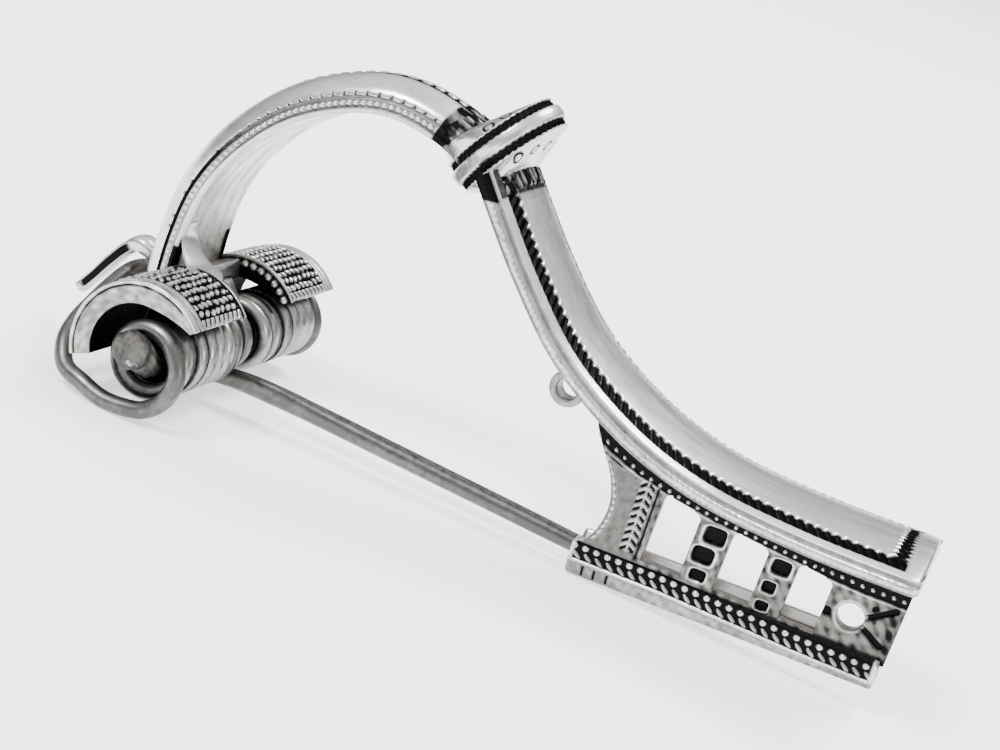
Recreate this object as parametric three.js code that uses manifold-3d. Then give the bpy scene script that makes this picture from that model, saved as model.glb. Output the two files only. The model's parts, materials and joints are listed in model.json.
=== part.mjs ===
// A silver bow brooch (fibula) of the roll-cap kind, in millimetres.
// The bow, collar, foot, openwork catch-plate with its tray, spring covers, hook, lug and eyelet are
// one casting. A rod through the lug carries a two-sided coil spring whose chord runs under the hook.
// The pin is the spring's inner end, and closes in the tray.
// Outlines are drawn in the brooch's x-z plane: the spring covers' axis is at 0,0, +x runs to the foot
// and y runs along the spring. At the end the brooch is tipped so that it stands by its own weight on
// its two end loops and on the lower front corner of the tray, and its origin is set below its middle.
import * as THREE from 'three';
import { LoftGeometry } from 'three/addons/geometries/LoftGeometry.js';
import { mergeVertices } from 'three/addons/utils/BufferGeometryUtils.js';
import Module from 'manifold-3d';

// Bow: a band with a domed back, swept along the line of its underside.
const bowLine = [
  [-2.4, 3.4], [-2.25, 6.6], [-1.5, 10.6], [0.6, 14.5],
  [4.35, 18.1], [10, 20.25], [14.5, 19.65], [17.9, 17.9],
];
const bowWidth = [8.8, 6.5]; // at the head and at the collar
const bowEdge = [1.15, 1.2]; // height of the side faces
const bowDome = [2.0, 1.5]; // rise of the back above them
const bowLedge = 0.25; // the dome is set in this far from the side faces
const bowStations = 25;

// Foot: a band with a slightly domed top, swept along the line of its upper edges.
const footLine = [
  [19.7, 19.4], [21.15, 17.5], [24.35, 13.5], [28.8, 8.95],
  [34.6, 5.45], [40.4, 3.55], [47.8, 2.75], [56.5, 2.6],
];
const footWidth = [10.6, 12.7];
const footThickness = [1.4, 1.6];
const footDome = 0.9;
const footStations = 24;
const rim = 0.75; // plain rim along the sides
const endRim = 1.2; // and across the end
const rope = 1.15; // width of the sunk line inside the rim
const ropeDepth = 0.16;
const cornerCut = 0.5; // the end's corners are taken back by this

// Collar between bow and foot. It is a disc with sunk lines round its rim, and falls on both sides to a
// neck across the bow and across the foot.
const collarCentre = [18.84, 20.57];
const collarTilt = -38; // degrees, its axis against +x
const collarRim = [
  [0.34, 4.6], [0.5, 4.48], [0.54, 4.24], [0.98, 4.22], [1.04, 4.38], [1.16, 4.3],
]; // away from its middle, radius
const bowNeck = [
  [-3.2, 3.2, -0.75, -3.2], [-3.1, 3.35, -0.6, -3.3], [-2.25, 3.5, -0.3, -3.45], [-1.75, 4, 2.0, -4],
]; // a neck's rows are: away, half width, top, bottom
const footNeck = [
  [1.55, 4.62, 2.55, -3.65], [2.05, 4.86, 0.5, -2.83], [3.2, 4.85, 0.3, -2.7], [3.3, 4.7, 0.15, -2.6],
];
const collarSegments = 28;

// Head: two half-tube covers over the spring, joined in front of the bow's root.
const coverOuter = 5.2;
const coverInner = 3.56;
const coverReach = [3.8, 12.26]; // |y| where each cover begins and ends
const coverArc = [35, 200]; // degrees from +x towards +z
const coverSteps = 17;
const coverTip = 4.7; // inner radius at their front edges, which thin out from coverTipArc down
const coverTipArc = 85;
const bandRise = 0.32; // raised moulding on each cover's inner end
const bandLength = 1.0;
const headArc = [98, 196];
const headOuter = 4.95;

// Spring, rod and pin.
const coilAxis = [0.9, -0.4];
const coilRadius = 2.38; // to the middle of the wire
const coilPitch = 1.36;
const coilStart = 1.62; // |y| where each half begins, below the axis
const coilTurns = 8; // in each half
const wireRadius = 0.66;
const wireSides = 6;
const stepsPerTurn = 14;
const loopOpening = [1.17, 0.45]; // how far the near and far end loops open out
const loopOpeningTurn = 0.34; // over this last part of a turn
const springGap = 12; // degrees left open where the pin's turn ends
const chord = [
  [-1.3, -12.45, -4.0], [-3.4, -12.3, -3.4], [-5.2, -11.8, -2.85], [-6.25, -10.7, -1.5],
  [-6.6, -9.1, -0.35], [-6.7, -7, 0.7], [-6.9, -4.4, 1.65], [-7.1, -1.7, 2.35], [-7.15, 0, 2.5],
  [-7.1, 1.7, 2.35], [-6.9, 4.4, 1.65], [-6.7, 7, 0.7], [-6.6, 9.1, -0.35], [-6.25, 10.7, -1.5],
  [-5.2, 11.8, -2.8], [-3.2, 12.3, -3.05], [-1.3, 12.45, -3.25],
]; // from the near end loop, under the hook, to the far one
const chordSteps = 30;
const rodRadius = 1.4;
const rodReach = [-12.9, 13.9]; // y
const rodKnob = { radius: 1.55, reach: -13.9, shift: [-0.8, 0.75] }; // rough lump on its near end
const rodSides = 14;
const lugHalf = 0.55;
const lugRadius = 2.5;
const lugBore = 1.72;
const pinShaft = [
  [2.2, -1.52, -2.74, 0.62, 0.72], [3.9, -1.27, -2.7, 0.6, 0.88], [6.7, -0.85, -2.93, 0.62, 0.95],
  [10.5, -0.45, -3.38, 0.72, 0.84], [17.8, 0.05, -4.25, 0.76, 0.78], [24, 0.5, -5.0, 0.75, 0.75],
  [29.5, 0.8, -5.64, 0.73, 0.73], [33.5, 0.94, -6.08, 0.68, 0.66], [36.8, 0.95, -6.3, 0.5, 0.48],
  [39.4, 0.95, -6.42, 0.14, 0.14],
]; // x, y, z and half its breadth and depth, from its flat root to its point
const pinSides = 8;

// Hook that holds the chord.
const hookLine = [
  [-4.1, 1.9], [-5.15, 3.2], [-6.2, 4.15], [-7.25, 4.4],
  [-8.15, 3.8], [-9.3, 2.4], [-10.45, 0.75], [-11.4, -0.5],
];
const hookHalf = [1.1, 0.8]; // half width at its root and its tip
const hookThick = [1.3, 0.95];
const hookStations = 15;
const hookSides = 10;

// Catch-plate.
const plateFaces = [-1.04, 0.06]; // y
const plateFront = [[30.6, 6], [31.3, 3.6], [33.2, 0.5], [33.75, -1.6], [33.4, -3.6], [32.45, -5.3]];
const plateEnd = [[55.5, -5.9], [56.2, 1.6]];
const plateBottom = -5.9;
const plateTop = 0.9; // how deep its upper edge lies below the foot's upper edges
const panes = [[37.1, 40.1, 0.35], [42.65, 45.45, -0.4], [47.75, 50.4, -0.85]]; // from, to, top
const paneSill = -4.75;
const paneLean = 0.3;
const hole = { x: 52.45, z: -3.0, radius: 1.0, sides: 20 };

// Tray along the plate's foot: a channel open at its top.
const trayRange = [32.0, 55.4]; // x
const trayFaces = [-1.35, 2.5]; // y
const trayTop = -4.9;
const trayFloor = -7.05;
const trayBottom = -7.65;
const trayChannel = 1.85; // y of its far side
const trayCorner = 0.8;

// Eyelet under the foot.
const eyelet = { x: 28.65, z: 5.85, radius: 1.35, bore: 0.8, faces: [-2.6, -0.7], sides: 18 };

const wasm = await Module();
wasm.setup();

const mix = ([from, to], t) => from + (to - from) * t;
const steps = (count) => Array.from({ length: count }, (_, i) => i / (count - 1));
const turnBy = (k, sides) => k / sides * Math.PI * 2;
const ring = (sides, pointAt) => Array.from({ length: sides }, (_, k) => pointAt(turnBy(k, sides)));
const curveOf = (points) => new THREE.CatmullRomCurve3(points);
const lineOf = (points) => curveOf(points.map(([x, z]) => new THREE.Vector3(x, 0, z)));

/** A closed geometry as a solid that can be joined and cut. */
function solid(geometry) {
  const bare = new THREE.BufferGeometry().copy(geometry);
  bare.deleteAttribute('normal');
  bare.deleteAttribute('uv');
  const merged = mergeVertices(bare, 1e-4);
  return new wasm.Manifold(new wasm.Mesh({
    numProp: 3,
    vertProperties: new Float32Array(merged.attributes.position.array),
    triVerts: new Uint32Array(merged.index.array),
  }));
}

function geometryOf(joined) {
  const mesh = joined.getMesh();
  const geometry = new THREE.BufferGeometry();
  geometry.setAttribute('position', new THREE.BufferAttribute(mesh.vertProperties, 3));
  geometry.setIndex(new THREE.BufferAttribute(mesh.triVerts, 1));
  return geometry;
}

/** An outline in the x-z plane, thickened between two values of y. */
function slab(shape, [yLow, yHigh], curveSegments = 12) {
  const depth = yHigh - yLow;
  const geometry = new THREE.ExtrudeGeometry(shape, { depth, bevelEnabled: false, curveSegments });
  geometry.rotateX(Math.PI / 2);
  geometry.translate(0, yHigh, 0);
  return geometry;
}

/** A band along a line in the x-z plane. sectionAt(t) lists its [y, height] points counter-clockwise. */
function band(line, stations, sectionAt) {
  const curve = lineOf(line);
  const rows = stations.map((t) => {
    const point = curve.getPointAt(t);
    const along = curve.getTangentAt(t);
    const placed = ([y, h]) => new THREE.Vector3(point.x - along.z * h, y, point.z + along.x * h);
    return sectionAt(t).map(placed);
  });
  return new LoftGeometry(rows, { capStart: true, capEnd: true });
}

/** A closed section from its half, which runs from the underside up to the crest. */
function mirrored(half) {
  const other = half.filter(([y]) => y > 0).map(([y, h]) => [-y, h]).reverse();
  return [...half, ...other];
}

/** A wire through the points. radiiAt(i) gives half its breadth, across y, and half its depth. */
function wire(points, radiiAt, sides) {
  let across = new THREE.Vector3(0, 1, 0);
  const rows = points.map((point, i) => {
    const before = points[Math.max(i - 1, 0)];
    const after = points[Math.min(i + 1, points.length - 1)];
    const along = new THREE.Vector3().subVectors(after, before).normalize();
    across = across.clone().addScaledVector(along, -across.dot(along)).normalize();
    const up = new THREE.Vector3().crossVectors(along, across);
    const [breadth, depth] = radiiAt(i);
    return ring(sides, (angle) => point.clone()
      .addScaledVector(across, breadth * Math.cos(angle))
      .addScaledVector(up, depth * Math.sin(angle)));
  });
  return new LoftGeometry(rows, { capStart: true, capEnd: true });
}

/**
 * Part of a tube round the covers' axis, between two angles in degrees. Below coverTipArc its inner
 * side runs out to the radius tip.
 */
function tubeSector(inner, outer, [from, to], faces, sectorSteps, tip = inner) {
  const shape = new THREE.Shape();
  const angles = steps(sectorSteps + 1).map((s) => mix([from, to], s));
  const innerAt = (angle) => {
    const share = Math.max(0, (coverTipArc - angle) / (coverTipArc - from));
    return mix([inner, tip], share * share);
  };
  const corners = [
    ...angles.map((angle) => [outer, angle]),
    ...angles.reverse().map((angle) => [innerAt(angle), angle]),
  ];
  corners.forEach(([radius, degrees], k) => {
    const angle = THREE.MathUtils.degToRad(degrees);
    shape[k ? 'lineTo' : 'moveTo'](radius * Math.cos(angle), radius * Math.sin(angle));
  });
  return slab(shape, faces);
}

function disc(x, z, radius, faces, sides) {
  const rim = ring(sides, (angle) => new THREE.Vector2(
    x + radius * Math.cos(angle),
    z + radius * Math.sin(angle),
  ));
  return slab(new THREE.Shape(rim), faces);
}

/** Faces pushed outwards, so that a cutter between them goes right through what lies between these. */
const through = ([yLow, yHigh]) => [yLow - 1, yHigh + 1];

function makeBow() {
  return band(bowLine, steps(bowStations), (t) => {
    const half = mix(bowWidth, t) / 2;
    const edge = mix(bowEdge, t);
    const dome = mix(bowDome, t);
    const back = steps(5).map((s) => [
      s < 1 ? (half - bowLedge) * Math.cos(s * Math.PI / 2) : 0,
      edge + dome * Math.sin(s * Math.PI / 2),
    ]);
    return mirrored([
      [half - 0.12, 0], [half, 0.12], [half, edge * 0.5], [half - bowLedge, edge * 0.6], ...back,
    ]);
  });
}

function makeFoot() {
  const length = lineOf(footLine).getLength();
  const rimStart = 1 - endRim / length;
  const ropeStart = rimStart - rope / length;
  const slope = 0.08 / length;
  const even = steps(footStations).filter((t) => t < ropeStart - 0.01);
  const stations = [
    ...even, ropeStart, ropeStart + slope, rimStart - slope, rimStart, 1 - cornerCut / length, 1,
  ];
  return band(footLine, stations, (t) => {
    const half = mix(footWidth, t) / 2 - (t === 1 ? cornerCut : 0);
    const thick = mix(footThickness, t);
    const domeAt = (y) => footDome * (1 - (y / half) ** 2);
    const sunk = t > ropeStart && t < rimStart ? ropeDepth : 0;
    const line = t < rimStart ? ropeDepth : 0;
    const [outside, inside] = [half - rim, half - rim - rope];
    return mirrored([
      [half - 0.45, -thick], [half - 0.06, -0.88 * thick], [half, -0.62 * thick],
      [half - 0.08, -0.38 * thick], [half - 0.24, -0.28 * thick], [half - 0.22, -0.12 * thick], [half, 0],
      [outside, domeAt(outside)], [outside - 0.08, domeAt(outside) - line],
      [inside + 0.08, domeAt(inside) - line], [inside, domeAt(inside) - sunk],
      [inside / 2, domeAt(inside / 2) - sunk], [0, domeAt(0) - sunk],
    ]);
  });
}

function makeCollar() {
  const tilt = THREE.MathUtils.degToRad(collarTilt);
  const round = ([away, radius]) => [away, radius, radius, -radius];
  const back = collarRim.map(([away, radius]) => round([-away, radius])).reverse();
  const rows = [...bowNeck, ...back, ...collarRim.map(round), ...footNeck];
  const sections = rows.map(([away, half, top, bottom]) => ring(collarSegments, (angle) => {
    const height = (top + bottom) / 2 + (top - bottom) / 2 * Math.sin(angle);
    return new THREE.Vector3(
      collarCentre[0] + away * Math.cos(tilt) - height * Math.sin(tilt),
      half * Math.cos(angle),
      collarCentre[1] + away * Math.sin(tilt) + height * Math.cos(tilt),
    );
  }));
  return new LoftGeometry(sections, { capStart: true, capEnd: true });
}

function makeCovers() {
  const [begin, end] = coverReach;
  const bandArc = [coverArc[0] + 3, coverArc[1] - 3];
  const covers = [[begin, end], [-end, -begin]]
    .map((faces) => tubeSector(coverInner, coverOuter, coverArc, faces, coverSteps, coverTip));
  const bands = [[begin - 0.01, begin + bandLength], [-begin - bandLength, -begin + 0.01]]
    .map((faces) => tubeSector(
      coverInner + 0.5, coverOuter + bandRise, bandArc, faces, coverSteps, coverTip + 0.3,
    ));
  const head = tubeSector(coverInner, headOuter, headArc, [-begin - 0.2, begin + 0.2], 10);
  return [...covers, ...bands, head];
}

/** The ear between the two halves of the spring, on the rod. */
function makeLug() {
  const shape = new THREE.Shape();
  const [from, to] = [-80, 60].map(THREE.MathUtils.degToRad);
  shape.absarc(...coilAxis, lugRadius, from, to, false);
  shape.lineTo(0.5, 4.2);
  shape.lineTo(-3.4, 2.6);
  shape.lineTo(-3.9, -0.6);
  const faces = [-lugHalf, lugHalf];
  return solid(slab(shape, faces)).subtract(solid(disc(...coilAxis, lugBore, through(faces), 20)));
}

function makeHook() {
  return band(hookLine, steps(hookStations), (t) => ring(hookSides, (angle) => [
    mix(hookHalf, t) * Math.cos(angle),
    mix(hookThick, t) / 2 * Math.sin(angle),
  ]));
}

function makePlate() {
  const foot = lineOf(footLine);
  const shape = new THREE.Shape();
  shape.moveTo(...plateFront[0]);
  shape.splineThru(plateFront.slice(1).map(([x, z]) => new THREE.Vector2(x, z)));
  shape.lineTo(trayRange[0] + 0.3, plateBottom);
  plateEnd.forEach(([x, z]) => shape.lineTo(x, z));
  for (let t = 0.96; t > 0.45; t -= 0.08) {
    const point = foot.getPointAt(t);
    shape.lineTo(point.x, point.z - plateTop);
  }
  let plate = solid(slab(shape, plateFaces, 3));
  for (const [from, to, top] of panes) {
    const pane = new THREE.Shape();
    pane.moveTo(from, paneSill);
    pane.lineTo(to, paneSill);
    pane.lineTo(to + paneLean, top - paneLean);
    pane.lineTo(from + paneLean, top);
    plate = plate.subtract(solid(slab(pane, through(plateFaces))));
  }
  return plate.subtract(solid(disc(hole.x, hole.z, hole.radius, through(plateFaces), hole.sides)));
}

/** The tray's section is drawn in the y-z plane and runs along x. */
function makeTray() {
  const [near, far] = trayFaces;
  const inner = plateFaces[1];
  const shape = new THREE.Shape();
  shape.moveTo(near, trayTop);
  shape.lineTo(near, trayBottom + trayCorner);
  shape.quadraticCurveTo(near, trayBottom, near + trayCorner, trayBottom);
  shape.lineTo(far - trayCorner, trayBottom);
  shape.quadraticCurveTo(far, trayBottom, far, trayBottom + trayCorner);
  shape.lineTo(far, trayTop);
  shape.lineTo(trayChannel, trayTop);
  shape.lineTo(trayChannel, trayFloor);
  shape.lineTo(inner, trayFloor);
  shape.lineTo(inner, trayTop);
  const depth = trayRange[1] - trayRange[0];
  const geometry = new THREE.ExtrudeGeometry(shape, { depth, bevelEnabled: false, curveSegments: 4 });
  geometry.rotateX(Math.PI / 2);
  geometry.rotateZ(Math.PI / 2);
  geometry.translate(trayRange[0], 0, 0);
  return geometry;
}

function makeEyelet() {
  const { x, z, radius, bore, faces, sides } = eyelet;
  const inside = solid(disc(x, z, bore, through(faces), sides));
  return solid(disc(x, z, radius, faces, sides)).subtract(inside);
}

/** A point of the near half's helix, a number of turns out from its start below the axis. */
function onCoil(turn, radius = coilRadius) {
  const angle = -Math.PI / 2 - turn * Math.PI * 2;
  return new THREE.Vector3(
    coilAxis[0] + radius * Math.cos(angle),
    -coilStart - turn * coilPitch,
    coilAxis[1] + radius * Math.sin(angle),
  );
}

/** One half of the spring from a number of turns out to the bottom of its end loop. */
function halfCoil(fromTurn, opening) {
  const count = Math.round((coilTurns - fromTurn) * stepsPerTurn) + 1;
  return steps(count).map((s) => {
    const turn = mix([fromTurn, coilTurns], s);
    const opened = Math.max(0, 1 - (coilTurns - turn) / loopOpeningTurn);
    return onCoil(turn, coilRadius + opening * opened);
  });
}

function makeSpring() {
  const nearHalf = halfCoil(1 + springGap / 360, loopOpening[0]);
  const farHalf = halfCoil(0, loopOpening[1]).reverse();
  farHalf.forEach((point) => { point.y = -point.y; });
  const middle = chord.map((point) => new THREE.Vector3(...point));
  const curve = curveOf([...nearHalf.slice(-2), ...middle, ...farHalf.slice(0, 2)]);
  const points = [...nearHalf.slice(0, -2), ...curve.getSpacedPoints(chordSteps), ...farHalf.slice(2)];
  return wire(points, () => [wireRadius, wireRadius], wireSides);
}

/** The spring's inner turn and the pin that leaves it. */
function makePin() {
  const turn = steps(stepsPerTurn).map((s) => onCoil((1 - springGap / 360) * (1 - s)));
  const shaft = pinShaft.map(([x, y, z]) => new THREE.Vector3(x, y, z));
  const radii = [...turn.map(() => [wireRadius, wireRadius]), ...pinShaft.map((row) => row.slice(3))];
  return wire([...turn, ...shaft], (i) => radii[i], pinSides);
}

function makeRod() {
  const { radius, reach, shift } = rodKnob;
  const [x, z] = coilAxis;
  const points = [
    [x + shift[0], reach, z + shift[1]], [x + shift[0], reach + 0.3, z + shift[1]],
    [x + shift[0] * 0.8, rodReach[0] - 0.3, z + shift[1] * 0.8], [x, rodReach[0], z], [x, rodReach[1], z],
  ].map(([px, py, pz]) => new THREE.Vector3(px, py, pz));
  const radii = [radius * 0.75, radius, radius, rodRadius, rodRadius];
  const rows = points.map((point, i) => ring(rodSides, (angle) => new THREE.Vector3(
    point.x - radii[i] * Math.cos(angle),
    point.y,
    point.z + radii[i] * Math.sin(angle),
  )));
  return new LoftGeometry(rows, { capStart: true, capEnd: true });
}

const casting = [
  makeBow(), makeFoot(), makeCollar(), ...makeCovers(), makeHook(), makeTray(),
].map(solid).concat(makeLug(), makePlate(), makeEyelet()).reduce((whole, piece) => whole.add(piece));

const silver = { color: 0xc4c3bf, roughness: 0.34, metalness: 1 };
const pieces = {
  body: [geometryOf(casting), silver],
  spring: [makeSpring(), { ...silver, color: 0xb9b8b4 }],
  pin: [makePin(), { ...silver, color: 0xb9b8b4 }],
  axis_rod: [makeRod(), { color: 0x4b4743, roughness: 0.85, metalness: 0.3 }],
};

/** The height of a geometry's lowest point once it is tipped about y by an angle that lifts +x. */
function lowest(geometry, angle) {
  const { array } = geometry.attributes.position;
  let low = Infinity;
  for (let i = 0; i < array.length; i += 3) {
    low = Math.min(low, array[i] * Math.sin(angle) + array[i + 2] * Math.cos(angle));
  }
  return low;
}

/** The angle at which the spring's end loop and the tray's corner stand on the same level. */
function standingAngle(spring, body) {
  let [low, high] = [0, 0.3];
  for (let i = 0; i < 40; i++) {
    const middle = (low + high) / 2;
    if (lowest(body, middle) < lowest(spring, middle)) low = middle; else high = middle;
  }
  return low;
}

const brooch = new THREE.Group();
brooch.rotation.y = -standingAngle(pieces.spring[0], pieces.body[0]);
for (const [name, [geometry, look]] of Object.entries(pieces)) {
  const mesh = new THREE.Mesh(geometry, new THREE.MeshStandardMaterial(look));
  mesh.name = name;
  brooch.add(mesh);
}
brooch.updateMatrixWorld(true);
const box = new THREE.Box3().setFromObject(brooch, true);
brooch.position.set(-(box.min.x + box.max.x) / 2, 0, -box.min.z);

export default brooch;
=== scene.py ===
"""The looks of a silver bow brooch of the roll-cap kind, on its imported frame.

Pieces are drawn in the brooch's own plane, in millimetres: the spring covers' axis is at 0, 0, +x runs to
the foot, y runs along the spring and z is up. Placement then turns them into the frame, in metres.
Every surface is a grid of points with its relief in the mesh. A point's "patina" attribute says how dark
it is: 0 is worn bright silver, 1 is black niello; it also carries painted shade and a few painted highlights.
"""
import json
import math

import bpy
import numpy as np
from mathutils import Matrix, Vector


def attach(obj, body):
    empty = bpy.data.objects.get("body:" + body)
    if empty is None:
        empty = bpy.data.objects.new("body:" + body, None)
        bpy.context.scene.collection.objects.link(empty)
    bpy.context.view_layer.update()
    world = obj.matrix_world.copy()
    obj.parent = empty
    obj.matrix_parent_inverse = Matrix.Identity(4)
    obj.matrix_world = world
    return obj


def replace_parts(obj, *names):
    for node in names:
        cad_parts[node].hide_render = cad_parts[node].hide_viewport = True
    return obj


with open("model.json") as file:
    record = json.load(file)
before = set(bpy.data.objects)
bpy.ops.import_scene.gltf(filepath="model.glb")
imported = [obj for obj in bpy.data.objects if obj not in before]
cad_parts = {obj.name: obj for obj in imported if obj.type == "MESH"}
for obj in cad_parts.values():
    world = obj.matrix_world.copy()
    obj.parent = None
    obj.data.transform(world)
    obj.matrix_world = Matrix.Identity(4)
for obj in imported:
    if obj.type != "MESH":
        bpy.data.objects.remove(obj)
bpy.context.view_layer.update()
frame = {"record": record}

MM = 0.001
COARSE = 1  # at 2, meshes have points twice as far apart

# ---- sizes that the solids share, in millimetres ----
BOW_LINE = [
    (-2.4, 3.4), (-2.25, 6.6), (-1.5, 10.6), (0.6, 14.5), (4.35, 18.1), (10, 20.25), (14.5, 19.65),
    (17.9, 17.9),
]
BOW_WIDTH = (8.8, 6.5)
BOW_EDGE = (1.15, 1.2)
BOW_DOME = (2.0, 1.5)
FOOT_LINE = [
    (19.7, 19.4), (21.15, 17.5), (24.35, 13.5), (28.8, 8.95), (34.6, 5.45), (40.4, 3.55), (47.8, 2.75),
    (56.5, 2.6),
]
FOOT_WIDTH = (10.6, 12.7)
FOOT_THICKNESS = (1.45, 1.2)  # a little thinner than the solid
FOOT_DOME = 0.9
COLLAR_CENTRE = (18.84, 20.57)
COLLAR_TILT = math.radians(-38)
COVER_OUTER = 5.2
COVER_INNER = 3.56
COVER_REACH = (3.8, 12.26)
COVER_ARC = (35, 200)
COIL_AXIS = (0.9, -0.4)
HOLE = (52.45, -3.0)

# ---- placement: where two of the record's own points put the drawing plane ----
record = frame["record"]
axis_at = np.array(record["behaviour"]["joints"][0]["pos_m"]) / MM
hole_at = np.array(next(m for m in record["mounts"] if m["name"] == "plate_hole")["pos_m"]) / MM
drawn = math.atan2(HOLE[1] - COIL_AXIS[1], HOLE[0] - COIL_AXIS[0])
placed = math.atan2(hole_at[2] - axis_at[2], hole_at[0] - axis_at[0])
TILT = placed - drawn


def to_frame(points):
    """Drawing-plane millimetres to frame metres."""
    points = np.asarray(points, float)
    c, s = math.cos(TILT), math.sin(TILT)
    dx = points[..., 0] - COIL_AXIS[0]
    dz = points[..., 2] - COIL_AXIS[1]
    x = axis_at[0] + dx * c - dz * s
    z = axis_at[2] + dx * s + dz * c
    return np.stack([x, points[..., 1], z], axis=-1) * MM


# ---- curves ----
def catmull(points, count=600):
    """Centripetal Catmull-Rom curve: even points, unit tangents and the length."""
    p = np.asarray(points, float)
    p = np.vstack([2 * p[0] - p[1], p, 2 * p[-1] - p[-2]])
    pieces = []
    for i in range(1, len(p) - 2):
        p0, p1, p2, p3 = p[i - 1:i + 3]
        d0, d1, d2 = (np.linalg.norm(b - a) ** 0.5 for a, b in ((p0, p1), (p1, p2), (p2, p3)))
        t1 = ((p1 - p0) / d0 - (p2 - p0) / (d0 + d1) + (p2 - p1) / d1) * d1
        t2 = ((p2 - p1) / d1 - (p3 - p1) / (d1 + d2) + (p3 - p2) / d2) * d1
        u = np.linspace(0, 1, 60)[:, None]
        c2 = -3 * p1 + 3 * p2 - 2 * t1 - t2
        c3 = 2 * p1 - 2 * p2 + t1 + t2
        piece = p1 + t1 * u + c2 * u ** 2 + c3 * u ** 3
        pieces.append(piece if i == 1 else piece[1:])
    dense = np.vstack(pieces)
    lengths = np.concatenate([[0], np.cumsum(np.linalg.norm(np.diff(dense, axis=0), axis=1))])
    at = np.linspace(0, lengths[-1], count)
    even = np.stack([np.interp(at, lengths, dense[:, k]) for k in range(dense.shape[1])], axis=1)
    tangents = np.gradient(even, axis=0)
    tangents /= np.linalg.norm(tangents, axis=1)[:, None]
    return even, tangents, lengths[-1]


def mix(pair, t):
    """From the first of a pair at t = 0 to the second at t = 1."""
    return pair[0] + (pair[1] - pair[0]) * t


def smooth(low, high, x):
    """0 below low, 1 above high, and a smooth rise between them."""
    u = np.clip((x - low) / (high - low), 0, 1)
    return u * u * (3 - 2 * u)


def past(x, line, soft=0.05):
    """0 before a line and 1 past it, with a soft edge."""
    return smooth(line - soft, line + soft, x)


def bump(x, width):
    """A smooth bump of height 1 at x = 0."""
    return np.exp(-(x / width) ** 2)


def ripple(x, pitch):
    """A rounded wave from 0 to 1 with that pitch."""
    return 0.5 - 0.5 * np.cos(2 * math.pi * x / pitch)


def round_angles(count):
    """That many angles evenly round a circle."""
    return np.linspace(0, 2 * math.pi, count, endpoint=False)


def rounded(away, reach):
    """1 at an end, and 0 from reach on, with a quarter circle between."""
    return 1 - np.sqrt(1 - np.clip(1 - away / reach, 0, 1) ** 2)


def round_steps(reach, count):
    """Distances from an end, down to 0, that step evenly round that quarter circle."""
    return reach * (1 - np.sin(np.linspace(0, math.pi / 2, count + 1)[1:]))


# rows of beads: pitch, half length, half width and height of a bead
SIDE_BEAD = (0.5, 0.22, 0.2, 0.16)
CREST_BEAD = (0.86, 0.34, 0.4, 0.13)
WEAVE_BEAD = (0.82, 0.31, 0.26, 0.2)
MOUTH_BEAD = (0.8, 0.34, 0.3, 0.3)
BAND_BEAD = (0.76, 0.15, 0.15, 0.2)
FRONT_BEAD = (0.5, 0.2, 0.12, 0.08)
TRAY_BEAD = (0.86, 0.27, 0.27, 0.26)
LEAF = (0.86, 0.26, 0.3, 0.16)


def beads(along, across, pitch, half_length, half_width, height):
    """Heights of a row of oval beads along the line where across is 0."""
    nearest = (along / pitch) % 1.0 - 0.5
    inside = 1 - (nearest * pitch / half_length) ** 2 - (across / half_width) ** 2
    return height * np.sqrt(np.clip(inside, 0, None))


# ---- meshes ----
def piece(name, points, faces, patina_and_shade, material, body="brooch", slot="silver"):
    """A visible piece from drawing-plane points, riding on a body of the frame."""
    mesh = bpy.data.meshes.new(name)
    mesh.from_pydata(to_frame(points).tolist(), [], faces)
    mesh.polygons.foreach_set("use_smooth", [True] * len(mesh.polygons))
    attribute = mesh.attributes.new("patina_and_shade", "FLOAT", "POINT")
    attribute.data.foreach_set("value", np.asarray(patina_and_shade, np.float32))
    mesh.materials.append(material)
    mesh.validate()
    mesh.update()
    item = bpy.data.objects.new(name, mesh)
    bpy.context.scene.collection.objects.link(item)
    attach(item, body)
    return item


def ring_faces(rows, columns):
    """Quads between neighbouring rings of points."""
    r, c = np.meshgrid(np.arange(rows - 1), np.arange(columns), indexing="ij")
    here, beside = r * columns + c, r * columns + (c + 1) % columns
    return np.stack([here, beside, beside + columns, here + columns], axis=-1).reshape(-1, 4).tolist()


def tube_piece(name, grid, patina_and_shade, material, **kwargs):
    """A closed piece: rows of rings, each end filled by a fan."""
    rows, columns = grid.shape[:2]
    start, end, last = rows * columns, rows * columns + 1, (rows - 1) * columns
    faces = ring_faces(rows, columns)
    for c in range(columns):
        n = (c + 1) % columns
        faces += [[start, n, c], [end, last + c, last + n]]
    points = np.vstack([grid.reshape(-1, 3), grid[0].mean(axis=0), grid[-1].mean(axis=0)])
    shade = np.concatenate([np.asarray(patina_and_shade).reshape(-1), [0.3, 0.3]])
    return piece(name, points, faces, shade, material, **kwargs)


def divided(corners, counts):
    """A polyline with each of its stretches cut into so many parts."""
    corners = np.asarray(corners, float)
    rows = [corners[:1]]
    for a, b, count in zip(corners[:-1], corners[1:], counts):
        rows.append(a + (b - a) * (np.arange(1, count + 1) / count)[:, None])
    return np.vstack(rows)


def resample(corners, spacing):
    """A polyline with points added between its corners, no further apart than spacing."""
    stretches = np.diff(np.asarray(corners, float), axis=0)
    return divided(corners, [math.ceil(np.linalg.norm(stretch) / spacing) for stretch in stretches])


def mirrored(stretches):
    """A closed section from the stretches of its half, and the stretch of each point."""
    first, second, *others = stretches
    parts = [first, second[1:], *others]
    half = np.vstack(parts)
    tags = np.repeat(np.arange(len(parts)), [len(part) for part in parts])
    return np.vstack([half, half[1:-1][::-1] * (-1, 1)]), np.concatenate([tags, tags[1:-1][::-1]])


def sections_along(at, half_at):
    """Mirrored sections at shares of a line, and the stretch of each of their points."""
    rows = [mirrored(half_at(t)) for t in at]
    return np.array([section for section, _ in rows]), rows[0][1]


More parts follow.
